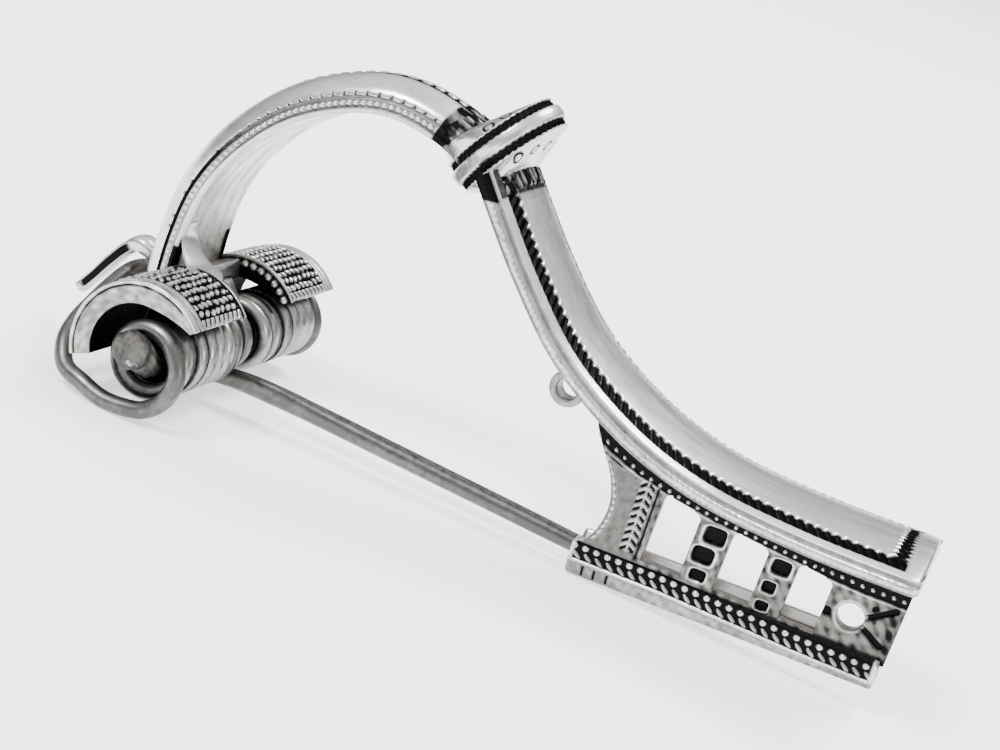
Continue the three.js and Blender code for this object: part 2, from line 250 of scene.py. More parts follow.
def normals_of(sections):
    """Outward normals, in the section plane, of closed counter-clockwise sections."""
    step = np.roll(sections, -1, axis=1) - np.roll(sections, 1, axis=1)
    normal = np.stack([step[..., 1], -step[..., 0]], axis=-1)
    return normal / (np.linalg.norm(normal, axis=-1, keepdims=True) + 1e-9)


class Skin:
    """Relief over a smooth form, in millimetres, and how dark each point is (patina, niello and painted
    shade), for a grid of points.
    """

    def __init__(self, shape):
        self.relief = np.zeros(shape)
        self.patina_and_shade = np.zeros(shape)

    def set(self, where, patina_and_shade, relief=None):
        """Gives part of the grid a new patina, and a new relief where one is given."""
        self.patina_and_shade = np.where(where, patina_and_shade, self.patina_and_shade)
        if relief is not None:
            self.relief = np.where(where, relief, self.relief)

    def darken(self, patina_and_shade):
        """Makes the skin at least so dark."""
        self.patina_and_shade = np.maximum(self.patina_and_shade, patina_and_shade)

    def cut(self, mask, depth, dark=1.0):
        """Sinks and darkens what the mask covers."""
        self.relief = self.relief - depth * mask
        self.darken(dark * mask)

    def over(self, sections):
        """The sections with the relief added along their normals."""
        return sections + normals_of(sections) * self.relief[..., None]


def sweep(line, sections, at):
    """Sections of [y, height] points, set square on a line in the x-z plane at shares of it."""
    even, tangents, _ = catmull(line)
    share = np.linspace(0, 1, len(even))
    x, z, tx, tz = (np.interp(at, share, v) for v in (even[:, 0], even[:, 1], tangents[:, 0], tangents[:, 1]))
    y, h = sections[..., 0], sections[..., 1]
    return np.stack([x[:, None] - tz[:, None] * h, y, z[:, None] + tx[:, None] * h], axis=-1)


# ---- materials ----
BLACK = (0.006, 0.006, 0.006)


def node(tree, kind, **values):
    """A new node. A value named in_... goes to that input, and the others are settings."""
    made = tree.nodes.new(kind)
    for key, value in values.items():
        if key.startswith("in_"):
            made.inputs[key[3:].replace("_", " ")].default_value = value
        else:
            setattr(made, key, value)
    return made


def noise(tree, scale, detail, stretch=None):
    """Noise over the object, with its size given in spots per metre."""
    place = tree.nodes.get("place") or node(tree, "ShaderNodeTexCoord", name="place")
    clouds = node(tree, "ShaderNodeTexNoise", in_Scale=scale, in_Detail=detail, in_Roughness=0.62)
    source = place.outputs["Object"]
    if stretch is not None:
        spread = node(tree, "ShaderNodeMapping")
        spread.inputs["Scale"].default_value = stretch
        tree.links.new(source, spread.inputs["Vector"])
        source = spread.outputs["Vector"]
    tree.links.new(source, clouds.inputs["Vector"])
    return clouds.outputs["Fac"]


def mapped(tree, value, low, high, to_low=0.0, to_high=1.0, curve="LINEAR"):
    """A value spread from the range low to high on to another."""
    made = node(tree, "ShaderNodeMapRange", in_From_Min=low, in_From_Max=high,
                in_To_Min=to_low, in_To_Max=to_high, interpolation_type=curve)
    tree.links.new(value, made.inputs["Value"])
    return made.outputs["Result"]


def added(tree, first, second):
    """The sum of two sockets."""
    made = node(tree, "ShaderNodeMath", operation="ADD")
    tree.links.new(first, made.inputs[0])
    tree.links.new(second, made.inputs[1])
    return made.outputs["Value"]


def blended(tree, factor, first, second):
    """A colour between two: each is a socket or three numbers."""
    made = node(tree, "ShaderNodeMix", data_type="RGBA")
    tree.links.new(factor, made.inputs["Factor"])
    for name, colour in (("A", first), ("B", second)):
        if isinstance(colour, tuple):
            made.inputs[name].default_value = (*colour, 1)
        else:
            tree.links.new(colour, made.inputs[name])
    return made.outputs["Result"]


def start_material(name):
    """A new material, its tree, its shader, and its patina as a socket."""
    material = bpy.data.materials.new(name)
    material.use_nodes = True
    tree = material.node_tree
    depth = node(tree, "ShaderNodeAttribute", attribute_name="patina_and_shade").outputs["Fac"]
    return material, tree, tree.nodes["Principled BSDF"], depth


def roughen(tree, shader, height, strength, distance):
    """Fine bumps too small for the mesh."""
    made = node(tree, "ShaderNodeBump", in_Strength=strength, in_Distance=distance)
    tree.links.new(height, made.inputs["Height"])
    tree.links.new(made.outputs["Normal"], shader.inputs["Normal"])


def silver_material(name, bright, dull, roughness, stain):
    """Worn silver. The patina attribute darkens it to dull, and near 1 to black, for niello and for painted
    shade in recesses.
    Broad stains, fine specks and long faint scratches vary the colour, the gloss and the height."""
    material, tree, shader, depth = start_material(name)
    clouds = noise(tree, 260.0, 7.0)
    specks = noise(tree, 1900.0, 3.0)
    scratches = noise(tree, 900.0, 5.0, (0.12, 1.0, 1.0))
    worn = added(tree, depth, mapped(tree, specks, 0.3, 0.7, -0.07, 0.07))
    stains, pits = mapped(tree, clouds, 0.42, 0.72, 0.0, stain), mapped(tree, specks, 0.6, 0.72, 0.0, 0.3)
    grey = added(tree, added(tree, stains, pits), mapped(tree, worn, 0.05, 0.6))
    # blend to black: niello, and painted shade where the patina is near 1; it also dulls the reflections
    # there
    blackening = mapped(tree, worn, 0.5, 0.85, curve="SMOOTHSTEP")
    tree.links.new(blended(tree, blackening, blended(tree, grey, bright, dull), BLACK), shader.inputs["Base Color"])
    tree.links.new(blended(tree, blackening, (1.0, 1.0, 1.0), (0.3, 0.3, 0.3)), shader.inputs["Specular Tint"])
    streaks = mapped(tree, scratches, 0.35, 0.7, -0.05, 0.08)
    gloss = added(tree, mapped(tree, grey, 0.0, 1.0, *roughness), streaks)
    tree.links.new(gloss, shader.inputs["Roughness"])
    shader.inputs["Metallic"].default_value = 0.96
    roughen(tree, shader, added(tree, specks, scratches), 0.35, 0.00003)
    return material


def iron_material():
    """Corroded iron: dark and lumpy. A patina below 0 bares bright grains, and one near 1 paints it black as
    a painted shadow.
    """
    material, tree, shader, depth = start_material("corroded iron")
    lumps = noise(tree, 700.0, 8.0)
    grains = noise(tree, 2400.0, 3.0)
    rust = blended(tree, mapped(tree, lumps, 0.36, 0.66), (0.03, 0.028, 0.026), (0.14, 0.133, 0.126))
    bared = mapped(tree, added(tree, depth, grains), 0.03, -0.09)
    colour = blended(tree, bared, rust, (0.5, 0.49, 0.47))
    # a patina near 1 paints the iron black: a painted shadow
    colour = blended(tree, mapped(tree, depth, 0.2, 0.8), colour, BLACK)
    tree.links.new(colour, shader.inputs["Base Color"])
    shader.inputs["Roughness"].default_value = 0.5
    shader.inputs["Metallic"].default_value = 0.55
    roughen(tree, shader, added(tree, lumps, grains), 0.8, 0.00018)
    return material


SILVER = silver_material("worn silver", (0.66, 0.642, 0.622), (0.175, 0.168, 0.16), (0.26, 0.42), 0.4)
WIRE = silver_material("silver wire", (0.33, 0.32, 0.31), (0.1, 0.096, 0.092), (0.28, 0.4), 0.55)
IRON = iron_material()

# ---- bow ----
UNDER, SIDE, OUTER, MIDDLE = range(4)  # stretches of a half section: the last two are its top
BOW_SIDE = (  # the side's profile: how far in, and how high
    (0.18, 0), (0.05, 0.04), (0, 0.14), (0, 0.34), (0.05, 0.43), (0.14, 0.47), (0.14, 0.97), (0.24, 1.02),
)
BOW_SIDE_PARTS = (2, 2, 3, 2, 2, 10, 2, 2, 2)
BOW_GROOVE_IN = 0.26  # the groove above the side's bead row
BOW_LIP = (0.16, 0.09)  # where the back starts: how far in, and how far above the groove
BACK_IN = 0.22  # the back's arc would end this far in
BEVEL_TOP = 0.38  # the bright bevel along the bottom of the side ends here
SEAT = (0.46, 0.98)  # heights that the side's bead row lies between
SEAT_MIDDLE = 0.72
CREST_HALF = 0.62  # half width of the bead row along the crest
WORN_ROOT = (6, 16)  # ornament is worn faint before these, and whole after
NOTCH_PITCH = 0.8
NOTCH_RISE = 0.42  # height of a notch in the crown's edge
TICKS = (4.0, 4.8, 6.6, 7.5, 10.3)  # lone nicks along the lower part of that edge
TICK_HALF = 0.14
NECK_REACH = 4.2  # the dark neck starts this far from the end
ROOT_SHADOW = (3.9, 3.1)  # painted shadow at the root: its ends on the underside and on the sides


def bow_half(t):
    """The stretches of a half section at a share of the line, from underside to crest."""
    half, edge, dome = mix(BOW_WIDTH, t) / 2, mix(BOW_EDGE, t), mix(BOW_DOME, t)
    low = divided([(0, 0), (half - BOW_SIDE[0][0], 0)], [8])
    side = [(half - inset, height) for inset, height in BOW_SIDE]
    side += [(half - BOW_GROOVE_IN, edge), (half - BOW_LIP[0], edge + BOW_LIP[1])]
    reach = half - BACK_IN
    start = math.asin(BOW_LIP[1] / dome)
    inner = math.acos(CREST_HALF * 1.25 / reach)
    back = [(reach * math.cos(a), edge + dome * math.sin(a)) for a in np.linspace(start, inner, 40)]
    crest = [(y, edge + dome * math.sqrt(1 - (y / reach) ** 2)) for y in np.linspace(CREST_HALF * 1.2, 0, 14)]
    return low, divided(side, BOW_SIDE_PARTS), np.array(back), np.array(crest)


def bow_side(skin, s, h, side, kept):
    """A bead row in its seat, between a bright bevel and a dark groove."""
    row = beads(s, h - SEAT_MIDDLE, *SIDE_BEAD) * mix((0.35, 1.0), kept)
    skin.set(side & (h > SEAT[0]) & (h < SEAT[1]), 0.37 + 0.25 * kept - 4.2 * row, row - 0.04)
    skin.set(side & (h >= SEAT[1]), mix((0.95, 0.6), kept))
    skin.set(side & (h < SEAT[0]) & (h > BEVEL_TOP), 0.65)
    skin.set(side & (h <= BEVEL_TOP), 0.1)


def bow_edge(skin, s, rise, back, kept):
    """Notches along the crown's edge, and lone nicks on its lower part."""
    notch = np.clip(1 - np.abs((s / NOTCH_PITCH) % 1 - 0.5) * 4.5, 0, 1) * kept
    for place in TICKS:
        notch = np.maximum(notch, np.clip(1 - np.abs(s - place) / TICK_HALF, 0, 1))
    tooth = smooth(0.0, 0.25, notch - rise / NOTCH_RISE) * (rise < NOTCH_RISE + 0.03)
    skin.set(back, 0.98 * tooth, -0.08 * tooth)


def bow_crest(skin, s, y, crest):
    """A bead row along the crest, between two lines."""
    line = bump(np.abs(y) - CREST_HALF, 0.1)
    inside = smooth(CREST_HALF, CREST_HALF - 0.1, np.abs(y))
    row = beads(s, y, *CREST_BEAD)
    gap = inside * (1 - smooth(0.0, 0.08, row))
    skin.set(crest, np.maximum(line, 0.9 * gap), row - 0.1 * line - 0.06 * inside)


def bow_neck_streaks_and_shade(skin, s, y, h, reach, length, tags):
    """The dark neck before the collar, streaks on the underside, and painted shadow at the root, where the
    bow meets the head.
    """
    spots = smooth(0.45, 0.8, ripple(y + 0.6 * np.sin(2.1 * s), 1.9))
    skin.darken(past(s, length - NECK_REACH, 0.15) * (0.64 + 0.08 * ripple(y, 0.85) + 0.28 * spots))
    streak = smooth(0.55, 0.8, np.sin(1.9 * np.abs(y) + 0.22 * s) ** 2)
    skin.darken((0.22 * streak + 0.1) * (tags == UNDER))
    out = np.abs(y) / reach
    # painted shadow under and beside the root, where the bow meets the head
    root_shadow = smooth(ROOT_SHADOW[0], ROOT_SHADOW[0] - 0.6, s + 0.5 * np.abs(out - 0.8)) * smooth(0.66, 0.8, out)
    skin.darken(0.97 * root_shadow * (tags == UNDER))
    skin.darken(0.97 * smooth(ROOT_SHADOW[1], ROOT_SHADOW[1] - 0.4, s) * (tags == SIDE) * (h < 0.5))


def make_bow():
    """The bow, from its root in the head to the collar."""
    length = catmull(BOW_LINE)[2]
    at = np.linspace(0, 1, int(length / (0.1 * COARSE)))
    sections, tags = sections_along(at, bow_half)
    y, h = sections[..., 0], sections[..., 1]
    s, edge, reach = (at * length)[:, None], mix(BOW_EDGE, at)[:, None], mix(BOW_WIDTH, at)[:, None] / 2
    kept = smooth(*WORN_ROOT, s)
    back = tags == OUTER
    skin = Skin(y.shape)
    bow_side(skin, s, h, tags == SIDE, kept)
    bow_edge(skin, s, h - edge, back, kept)
    bow_crest(skin, s, y, (tags == MIDDLE) | (back & (np.abs(y) < CREST_HALF * 1.3)))
    bow_neck_streaks_and_shade(skin, s, y, h, reach, length, tags)
    return tube_piece("bow_band", sweep(BOW_LINE, skin.over(sections), at), skin.patina_and_shade, SILVER)


# ---- foot ----
FOOT_SIDE = (  # the side's profile: how far in, and how far down as a share of the thickness
    (0.45, 1), (0.24, 0.98), (0.1, 0.9), (0.02, 0.76), (0, 0.62), (0.03, 0.48), (0.1, 0.36), (0.22, 0.29),
    (0.25, 0.2), (0.2, 0.1), (0.04, 0.07),
)
FOOT_SIDE_PARTS = (4, 3, 4, 4, 4, 3, 3, 3, 3, 3, 2)
HALF_ROUND = (0.31, 0.9)  # the half-round moulding on the side, as shares of the thickness
EDGE_LEVEL = 0.07  # the bright edge above the side's groove ends at this share
RIM = 0.8  # plain rim outside the rope line
ROPE = 1.5
END_RIM = 1.4
END_ROPE = 1.2
LOBE = 0.74  # pitch of the rope's strands
CUSP = 0.42  # height of the points between the lobes of the rope's edge
END_CUSP = 0.34
END_ROUND = 0.35  # the end's edges are rounded by this
CORNER_REACH = 1.1  # the end's corners are rounded over this length
CORNER_CUT = 0.7
FOOT_NECK = 2.25  # the dark neck after the collar ends here
FOOT_TICKS = 2.75  # and the ticks that fringe it here


def foot_half(half, thick):
    """The stretches of a half section, from the middle of the underside to that of the top."""
    def top(ys):
        return np.array([(y, FOOT_DOME * (1 - (y / half) ** 2)) for y in ys])
    low = divided([(0, -thick), (half - FOOT_SIDE[0][0], -thick)], [9])
    side = [(half - inset, -level * thick) for inset, level in FOOT_SIDE] + [(half - 0.02, -0.02)]
    inner = half - RIM - ROPE - 0.35
    return (low, divided(side, FOOT_SIDE_PARTS), top(np.linspace(half - 0.14, inner, 34)),
            top(np.linspace(inner, 0, 30)[1:]))


def foot_rope(skin, s, y, inset, away, top):
    """A lobed rope line of black inlay along both edges and across the end."""
    cusps = CUSP * (1 - np.sqrt(ripple(s + 0.12 * np.sin(0.9 * s), LOBE)))
    end_cusps = END_CUSP * (1 - np.sqrt(ripple(y, LOBE)))
    along = past(inset - 0.12 * cusps, RIM, 0.04) * past(RIM + ROPE - cusps, inset)
    along *= past(away, END_RIM, 0.04)
    across = past(away - end_cusps, END_RIM, 0.04) * past(END_RIM + END_ROPE - end_cusps, away)
    across *= past(inset, RIM, 0.04)
    rope = np.maximum(along, across)
    slant = np.where(along >= across, ripple(s + 0.5 * inset, LOBE), ripple(y + 0.5 * away, LOBE))
    # the strands' crests are painted a little lighter: a painted sheen on the black inlay
    skin.set(top, rope * (1.0 - 0.22 * slant ** 3), rope * (0.09 * slant - 0.17))


def foot_neck(skin, s, y, inset, top):
    """The dark neck after the collar, fringed with ticks inside the rope lines."""
    skin.darken(0.75 * smooth(FOOT_NECK, FOOT_NECK - 0.2, s) * top)
    ticks = smooth(0.5, 0.8, ripple(y, 0.36)) * smooth(FOOT_TICKS, FOOT_TICKS - 0.15, s)
    skin.darken(0.5 * ticks * top * (inset > RIM + ROPE))


def foot_side(skin, s, level, side):
    """A bright edge, a groove and a hammered half-round with painted highlights on its hammer marks and
    painted shade along its lower edge, and a painted shadow in black beside the collar.
    """
    blows = np.sin(5.1 * s + 3 * np.sin(0.7 * s)) * np.sin(7.3 * s + 9 * level)
    blows += 0.6 * np.sin(13.7 * s - 6 * level)
    hammered = (0.5 + 0.3 * blows) * smooth(0.34, 0.5, level) * smooth(0.9, 0.75, level)
    # painted highlights on the hammer marks in the middle, and painted shade towards the lower edge
    half_round_tone_and_shading = 0.3 - 0.3 * hammered + 0.3 * smooth(0.62, 0.88, level)
    skin.set(side, 0.5)
    skin.set(side & (level > HALF_ROUND[0]) & (level < HALF_ROUND[1]), half_round_tone_and_shading, 0.05 * hammered)
    skin.set(side & (level <= EDGE_LEVEL), 0.05)
    # painted shadow: the side goes black beside the collar
    skin.darken(0.97 * smooth(2.5, 2.2, s + 0.9 * (level - 0.2)) * side * (level > 0.2))


def make_foot():
    """The foot, from the collar to its squared end."""
    length = catmull(FOOT_LINE)[2]
    flat = np.linspace(0, 1 - END_ROUND / length, int(length / (0.12 * COARSE)))
    at = np.concatenate([flat, 1 - round_steps(END_ROUND, 8) / length])

    def half_at(t):
        cut = CORNER_CUT * rounded((1 - t) * length, CORNER_REACH)
        return foot_half(mix(FOOT_WIDTH, t) / 2 - cut, mix(FOOT_THICKNESS, t))

    sections, tags = sections_along(at, half_at)
    s = (at * length)[:, None]
    y, h = np.abs(sections[..., 0]), sections[..., 1]
    inset = (mix(FOOT_WIDTH, at) / 2)[:, None] - y
    away = length - s
    top = tags >= OUTER
    skin = Skin(y.shape)
    foot_rope(skin, s, y, inset, away, top)
    foot_neck(skin, s, y, inset, top)
    foot_side(skin, s, -h / mix(FOOT_THICKNESS, at)[:, None], tags == SIDE)
    skin.relief -= END_ROUND * rounded(away, END_ROUND)
    return tube_piece("foot_band", sweep(FOOT_LINE, skin.over(sections), at), skin.patina_and_shade, SILVER)


# ---- collar ----
COLLAR_ROWS = (  # away along its axis, half width, top, bottom
    (-3.3, 3.2, -0.8, -3.2), (-3.2, 3.35, -0.6, -3.3), (-2.25, 3.5, -0.3, -3.45), (-2.15, 3.65, 0.2, -3.6),
    (-1.75, 4.0, 2.0, -4.0), (-1.16, 4.3, 4.3, -4.3), (-1.04, 4.4, 4.4, -4.4), (-0.5, 4.5, 4.5, -4.5),
    (-0.34, 4.58, 4.58, -4.58), (0, 4.62, 4.62, -4.62), (0.34, 4.58, 4.58, -4.58), (0.5, 4.5, 4.5, -4.5),
    (1.04, 4.4, 4.4, -4.4), (1.16, 4.3, 4.3, -4.3), (1.55, 4.62, 2.55, -3.65), (2.0, 4.84, 0.62, -2.85),
    (2.12, 4.75, 0.4, -2.83), (3.2, 4.8, 0.26, -2.7), (3.3, 4.7, 0.1, -2.6),
)
ROPE_AT = 0.77  # the two rope lines are this far from the collar's middle
ROPE_ROUND = 4.4  # radius that the ropes' strands are counted on
STRAND = 0.55
SLOPE = 1.12  # the punched slopes start this far from the middle
COLLAR_NECK = 2.12  # and the fluted necks this far
PUNCH_RADIUS = 0.4
PUNCHES = (  # rows of ring punches: away along the axis, degrees round it
    (-1.4, (18, 40, 62, 90, 118, 140, 162)), (1.57, (37, 63, 90, 117, 143)),
)
DENT_TURN = 3.75  # a dent in the middle of the rim, in radians round the axis


def collar_oval(half, top, bottom, angle):
    """Points of one of the collar's sections: y and height."""
    return half * np.cos(angle), (top + bottom) / 2 + (top - bottom) / 2 * np.sin(angle)


def punch_rings(skin, y, h, away):
    """Rows of ring punches on the collar's two slopes."""
    place_of, *columns = np.array(COLLAR_ROWS).T
    for place, degrees in PUNCHES:
        oval = [np.interp(place, place_of, column) for column in columns]
        for turn in np.radians(degrees):
            centre = collar_oval(*oval, turn)
            gap = np.sqrt((y - centre[0]) ** 2 + (h - centre[1]) ** 2 + (away - place) ** 2)
            skin.cut(bump(gap - PUNCH_RADIUS, 0.11) * (np.abs(away) > SLOPE), 0.09)


def make_collar():
    """The collar: two rope lines, ring punches on its slopes and dark flutes on its necks."""
    profile = resample(COLLAR_ROWS, 0.08 * COARSE)
    angle = round_angles(360 // COARSE)[None, :]
    away, *oval = (profile[:, k][:, None] for k in range(4))
    y, h = collar_oval(*oval, angle)
    skin = Skin(y.shape)
    distance = np.abs(np.abs(away) - ROPE_AT)
    strands = ripple(angle * ROPE_ROUND + 0.6 * np.abs(away), STRAND)
    rope = smooth(0.3 + 0.06 * strands, 0.2 + 0.06 * strands, distance)
    skin.set(True, rope * (1.0 - 0.1 * strands), rope * (0.14 * strands * smooth(0.3, 0.0, distance) - 0.26))
    punch_rings(skin, y, h, away)
    dent = bump(angle - DENT_TURN, 0.16) * bump(away, 0.35)
    skin.relief -= 0.1 * dent
    skin.darken(0.45 * smooth(0.2, 0.7, dent))
    neck = past(np.abs(away + 0.06), COLLAR_NECK + 0.01, 0.07)
    flutes = ripple(y, 0.85)
    blackening = smooth(0.6, 0.9, ripple(y + 0.8 * away, 2.3))
    skin.relief -= neck * 0.12 * flutes
    skin.darken(neck * (0.58 + 0.24 * flutes + 0.25 * blackening))
    clouds = np.sin(3 * angle + 1.0) * np.sin(2.2 * away + 5 * angle) + 0.35 * np.sin(13 * angle - 4 * away)
    clouds = smooth(0.1, 0.8, clouds) * (np.abs(away) < COLLAR_NECK - 0.02)
    skin.darken((0.2 + 0.24 * smooth(2.5, -2, h)) * clouds)
    sections = skin.over(np.stack([y, h], axis=-1))
    c, s = math.cos(COLLAR_TILT), math.sin(COLLAR_TILT)
    y, h = sections[..., 0], sections[..., 1]
    grid = np.stack([COLLAR_CENTRE[0] + away * c - h * s, y, COLLAR_CENTRE[1] + away * s + h * c], axis=-1)
    return tube_piece("collar", grid, skin.patina_and_shade, SILVER)


# ---- covers ----
OUTSIDE, FACE, LINING, MOUTH = range(4)  # the four sides of a cover's wall
COVER_TIP = 4.7  # the lining's radius at the thinned front edge
COVER_TIP_ARC = 85  # degrees where the thinning starts
NEAR_SHORT = 0.5  # the near cover's mouth is worn back by this
COVER_LIP = 0.35  # plain lip at the mouth
LIP_RISE = 0.12
COVER_BAND = 1.45  # plain band at the outer end
BAND_LINE_AT = 0.82  # the line along the middle of that band
COVER_HEM = 0.75  # nicked hem along the front edge
WEAVE_ROW = 0.66  # width of a row of the basket pattern
MOUTH_RIDGE = 0.6  # depth of the beaded ridge on the mouth's face


def cover_outside(skin, y, arc, begin, end, outside):
    """A plain lip, a basket pattern over a nicked hem, and a plain band."""
    lip, band = begin + COVER_LIP, end - COVER_BAND
    skin.set(outside & (y < lip), 0.1, LIP_RISE * smooth(lip, lip - 0.1, y))
    skin.set(outside & (np.abs(y - lip) < 0.08), 0.9)
    row = np.floor(arc / WEAVE_ROW)
    odd = row % 2
    across = ((arc / WEAVE_ROW) % 1 - 0.5) * WEAVE_ROW
    wander = 0.07 * np.sin(3.1 * row + 1.7 * y) + 0.05 * np.sin(5.3 * y - row)
    lumps = beads(y + 0.55 * (1 - 2 * odd) * across + 0.4 * odd + wander, across + 0.6 * wander, *WEAVE_BEAD)
    from_edge = arc - math.radians(COVER_ARC[0]) * COVER_OUTER
    inside = (y > lip + 0.08) & (y < band) & (from_edge > COVER_HEM)
    skin.set(outside & inside, 0.92 - 5.2 * lumps, lumps - 0.08)
    nicks = smooth(0.5, 0.85, ripple(y + 0.5 * from_edge, 0.72)) * smooth(0.1, 0.25, from_edge) * (y < band)
    skin.set(outside & (from_edge <= COVER_HEM) & (y > lip), 0.8 * nicks, -0.08 * nicks)
    for place, depth in ((band, 0.07), (end - BAND_LINE_AT, 0.06)):
        skin.cut(outside * bump(y - place, 0.06), depth, 0.9)


def make_cover(side):
    """One half-tube over the spring: side -1 is the near one. Its front edge thins out to a lip."""
    fine = 0.08 * COARSE
    begin, end = COVER_REACH[0] + (NEAR_SHORT if side < 0 else 0), COVER_REACH[1]
    degrees = np.linspace(*COVER_ARC, int(16 / fine))
    a = np.radians(degrees)[:, None]
    arc = a * COVER_OUTER
    thin = np.clip((COVER_TIP_ARC - degrees) / (COVER_TIP_ARC - COVER_ARC[0]), 0, 1)[:, None] ** 2
    outer = resample([(0, begin), (0, begin + COVER_LIP), (0, end - 0.1)], fine / 2)[1:, 1]
    face, mouth = np.linspace(0, 1, int(1.7 / fine)), np.linspace(1, 0, int(1.9 / fine))
    lining = np.linspace(end - 0.12, begin + 0.12, 12)
    walls = [  # y, and how far in through the wall
        (outer, 0 * outer), (end + 0 * face, face), (lining, 1 + 0 * lining), (begin + 0 * mouth, mouth),
    ]
    y, share = (row[None, :] for row in np.hstack(walls))
    kind = np.repeat(np.arange(4), [len(wall[0]) for wall in walls])[None, :]
    inner = mix((COVER_INNER, COVER_TIP), thin)
    top = COVER_OUTER - 0.02 * (kind == FACE) + LIP_RISE * (kind == MOUTH)
    skin = Skin((len(a), kind.size))
    cover_outside(skin, y, arc, begin, end, kind == OUTSIDE)
    chase = (kind == FACE) * bump(share - 0.2, 0.04) * smooth(0.5, 0.3, thin)
    mottle = np.sin(7 * a + 5 * share) * np.sin(11 * a - 9 * share) + 0.5 * np.sin(23 * a + 14 * share)
    skin.set(kind == FACE, 0.42 + 0.1 * mottle - 0.32 * (share < 0.14) + 0.55 * chase)
    skin.set(kind == LINING, 0.85)
    ridge = (kind == MOUTH) * beads(arc, share * (top - inner) - MOUTH_RIDGE, *MOUTH_BEAD)
    skin.set(kind == MOUTH, np.where(share < 0.12, 0.1, 0.85 - 2.6 * ridge))
    r = top + (inner - top) * share + skin.relief
    grid = np.stack([r * np.cos(a), side * (y - 0.05 * chase - ridge), r * np.sin(a)], axis=-1)
    order = slice(None, None, side)
    name = "cover_near" if side < 0 else "cover_far"
    return tube_piece(name, grid[:, order], skin.patina_and_shade[:, order], SILVER)


# ---- head: plate, lug, tongue and hook ----
HEAD_ARC = (98, 196)
HEAD_OUTER = 4.95
HEAD_LINES = (3.3, 10.4)  # its grooves: at this y, and this far round the arc
LUG_HALF = 0.55
LUG_RADIUS = 2.5
LUG_ARC = (-80, 60)
LUG_SHOULDER = [(0.5, 4.2), (-3.4, 2.6), (-3.9, -0.6)]
LUG_BORE = 1.72
BEVEL = 0.1
TONGUE_LINE = [(-2.1, 8.2), (-2.12, 7.0), (-1.6, 6.1), (-0.75, 5.35), (0.4, 5.0), (1.5, 4.75)]
TONGUE_SHAPE = (  # share of its length, half width and middle y
    (0, 0.7, -2.9), (0.3, 1.35, -3.05), (0.6, 1.8, -3.4), (0.85, 1.85, -3.8), (1, 1.5, -4.1),
)
TONGUE_THICK = 0.2
TONGUE_END = 0.2  # the last share of its length, where it is rounded off
HOOK_LINE = [
    (-4.1, 1.9), (-5.15, 3.2), (-6.2, 4.15), (-7.25, 4.4), (-8.15, 3.8), (-9.3, 2.4), (-10.45, 0.75),
    (-11.4, -0.5),
]
HOOK_HALF = (1.1, 0.8)
HOOK_THICK = (1.3, 0.95)
HOOK_SQUARE = 0.75  # power that squares the hook's oval section
HOOK_DENT, HOOK_KNOB, HOOK_BLADE = 0.2, 0.36, (0.42, 0.97)  # shares of its length


def make_head():
    """The curved plate that joins the covers in front of the bow's root."""
    reach = COVER_REACH[0] + 0.2
    outline = [(COVER_INNER, -reach), (HEAD_OUTER, -reach), (HEAD_OUTER, reach), (COVER_INNER, reach)]
    section = resample(outline + outline[:1], 0.3)[:-1]
    angles = np.radians(np.linspace(*HEAD_ARC, 80))[:, None]
    radius, y = section[:, 0][None, :], section[:, 1][None, :]
    grid = np.stack([radius * np.cos(angles), y + 0 * angles, radius * np.sin(angles)], axis=-1)
    groove = bump(np.abs(y) - HEAD_LINES[0], 0.12) + bump(radius * angles - HEAD_LINES[1], 0.15)
    patina_and_shade = np.where(radius < COVER_INNER + 0.1, 0.85, 0.5)
    patina_and_shade = np.maximum(patina_and_shade, 0.8 * np.clip(groove, 0, 1) * (radius > HEAD_OUTER - 0.1))
    return tube_piece("head_plate", grid, patina_and_shade, SILVER)


def make_washer(name, outer_at, bore, centre, faces_y, patina_and_shade):
    """A flat plate round a bore. outer_at gives the outline's radius at an angle."""
    near, far = faces_y
    rings = []
    for angle in round_angles(120):
        outer = outer_at(angle)
        section = divided([
            (bore + BEVEL, near), (outer - BEVEL, near), (outer, near + BEVEL), (outer, far - BEVEL),
            (outer - BEVEL, far), (bore + BEVEL, far), (bore, far - BEVEL), (bore, near + BEVEL),
        ], (4, 2, 4, 2, 4, 2, 4))
        x = centre[0] + section[:, 0] * math.cos(angle)
        z = centre[1] + section[:, 0] * math.sin(angle)
        rings.append(np.stack([x, section[:, 1], z], axis=-1))
    points, count = np.vstack(rings), len(section)
    last = len(points) - count
    faces = ring_faces(len(rings), count)
    faces += [[last + c, last + (c + 1) % count, (c + 1) % count, c] for c in range(count)]
    return piece(name, points, faces, np.full(len(points), patina_and_shade), SILVER)


def make_lug():
    """The lug that carries the spring, with a shoulder up to the head plate."""
    turn = np.radians(np.linspace(*LUG_ARC, 30))
    arc = np.array(COIL_AXIS) + LUG_RADIUS * np.stack([np.cos(turn), np.sin(turn)], axis=-1)
    corners = resample(np.vstack([arc, LUG_SHOULDER, arc[:1]]), 0.2) - COIL_AXIS
    angles = np.arctan2(corners[:, 1], corners[:, 0]) % (2 * math.pi)
    order = np.argsort(angles)
    angles, reach = angles[order], np.hypot(corners[:, 0], corners[:, 1])[order]

    def outer_at(angle):
        return np.interp(angle, angles, reach, period=2 * math.pi)

    return make_washer("spring_lug", outer_at, LUG_BORE, COIL_AXIS, (-LUG_HALF, LUG_HALF), 0.62)


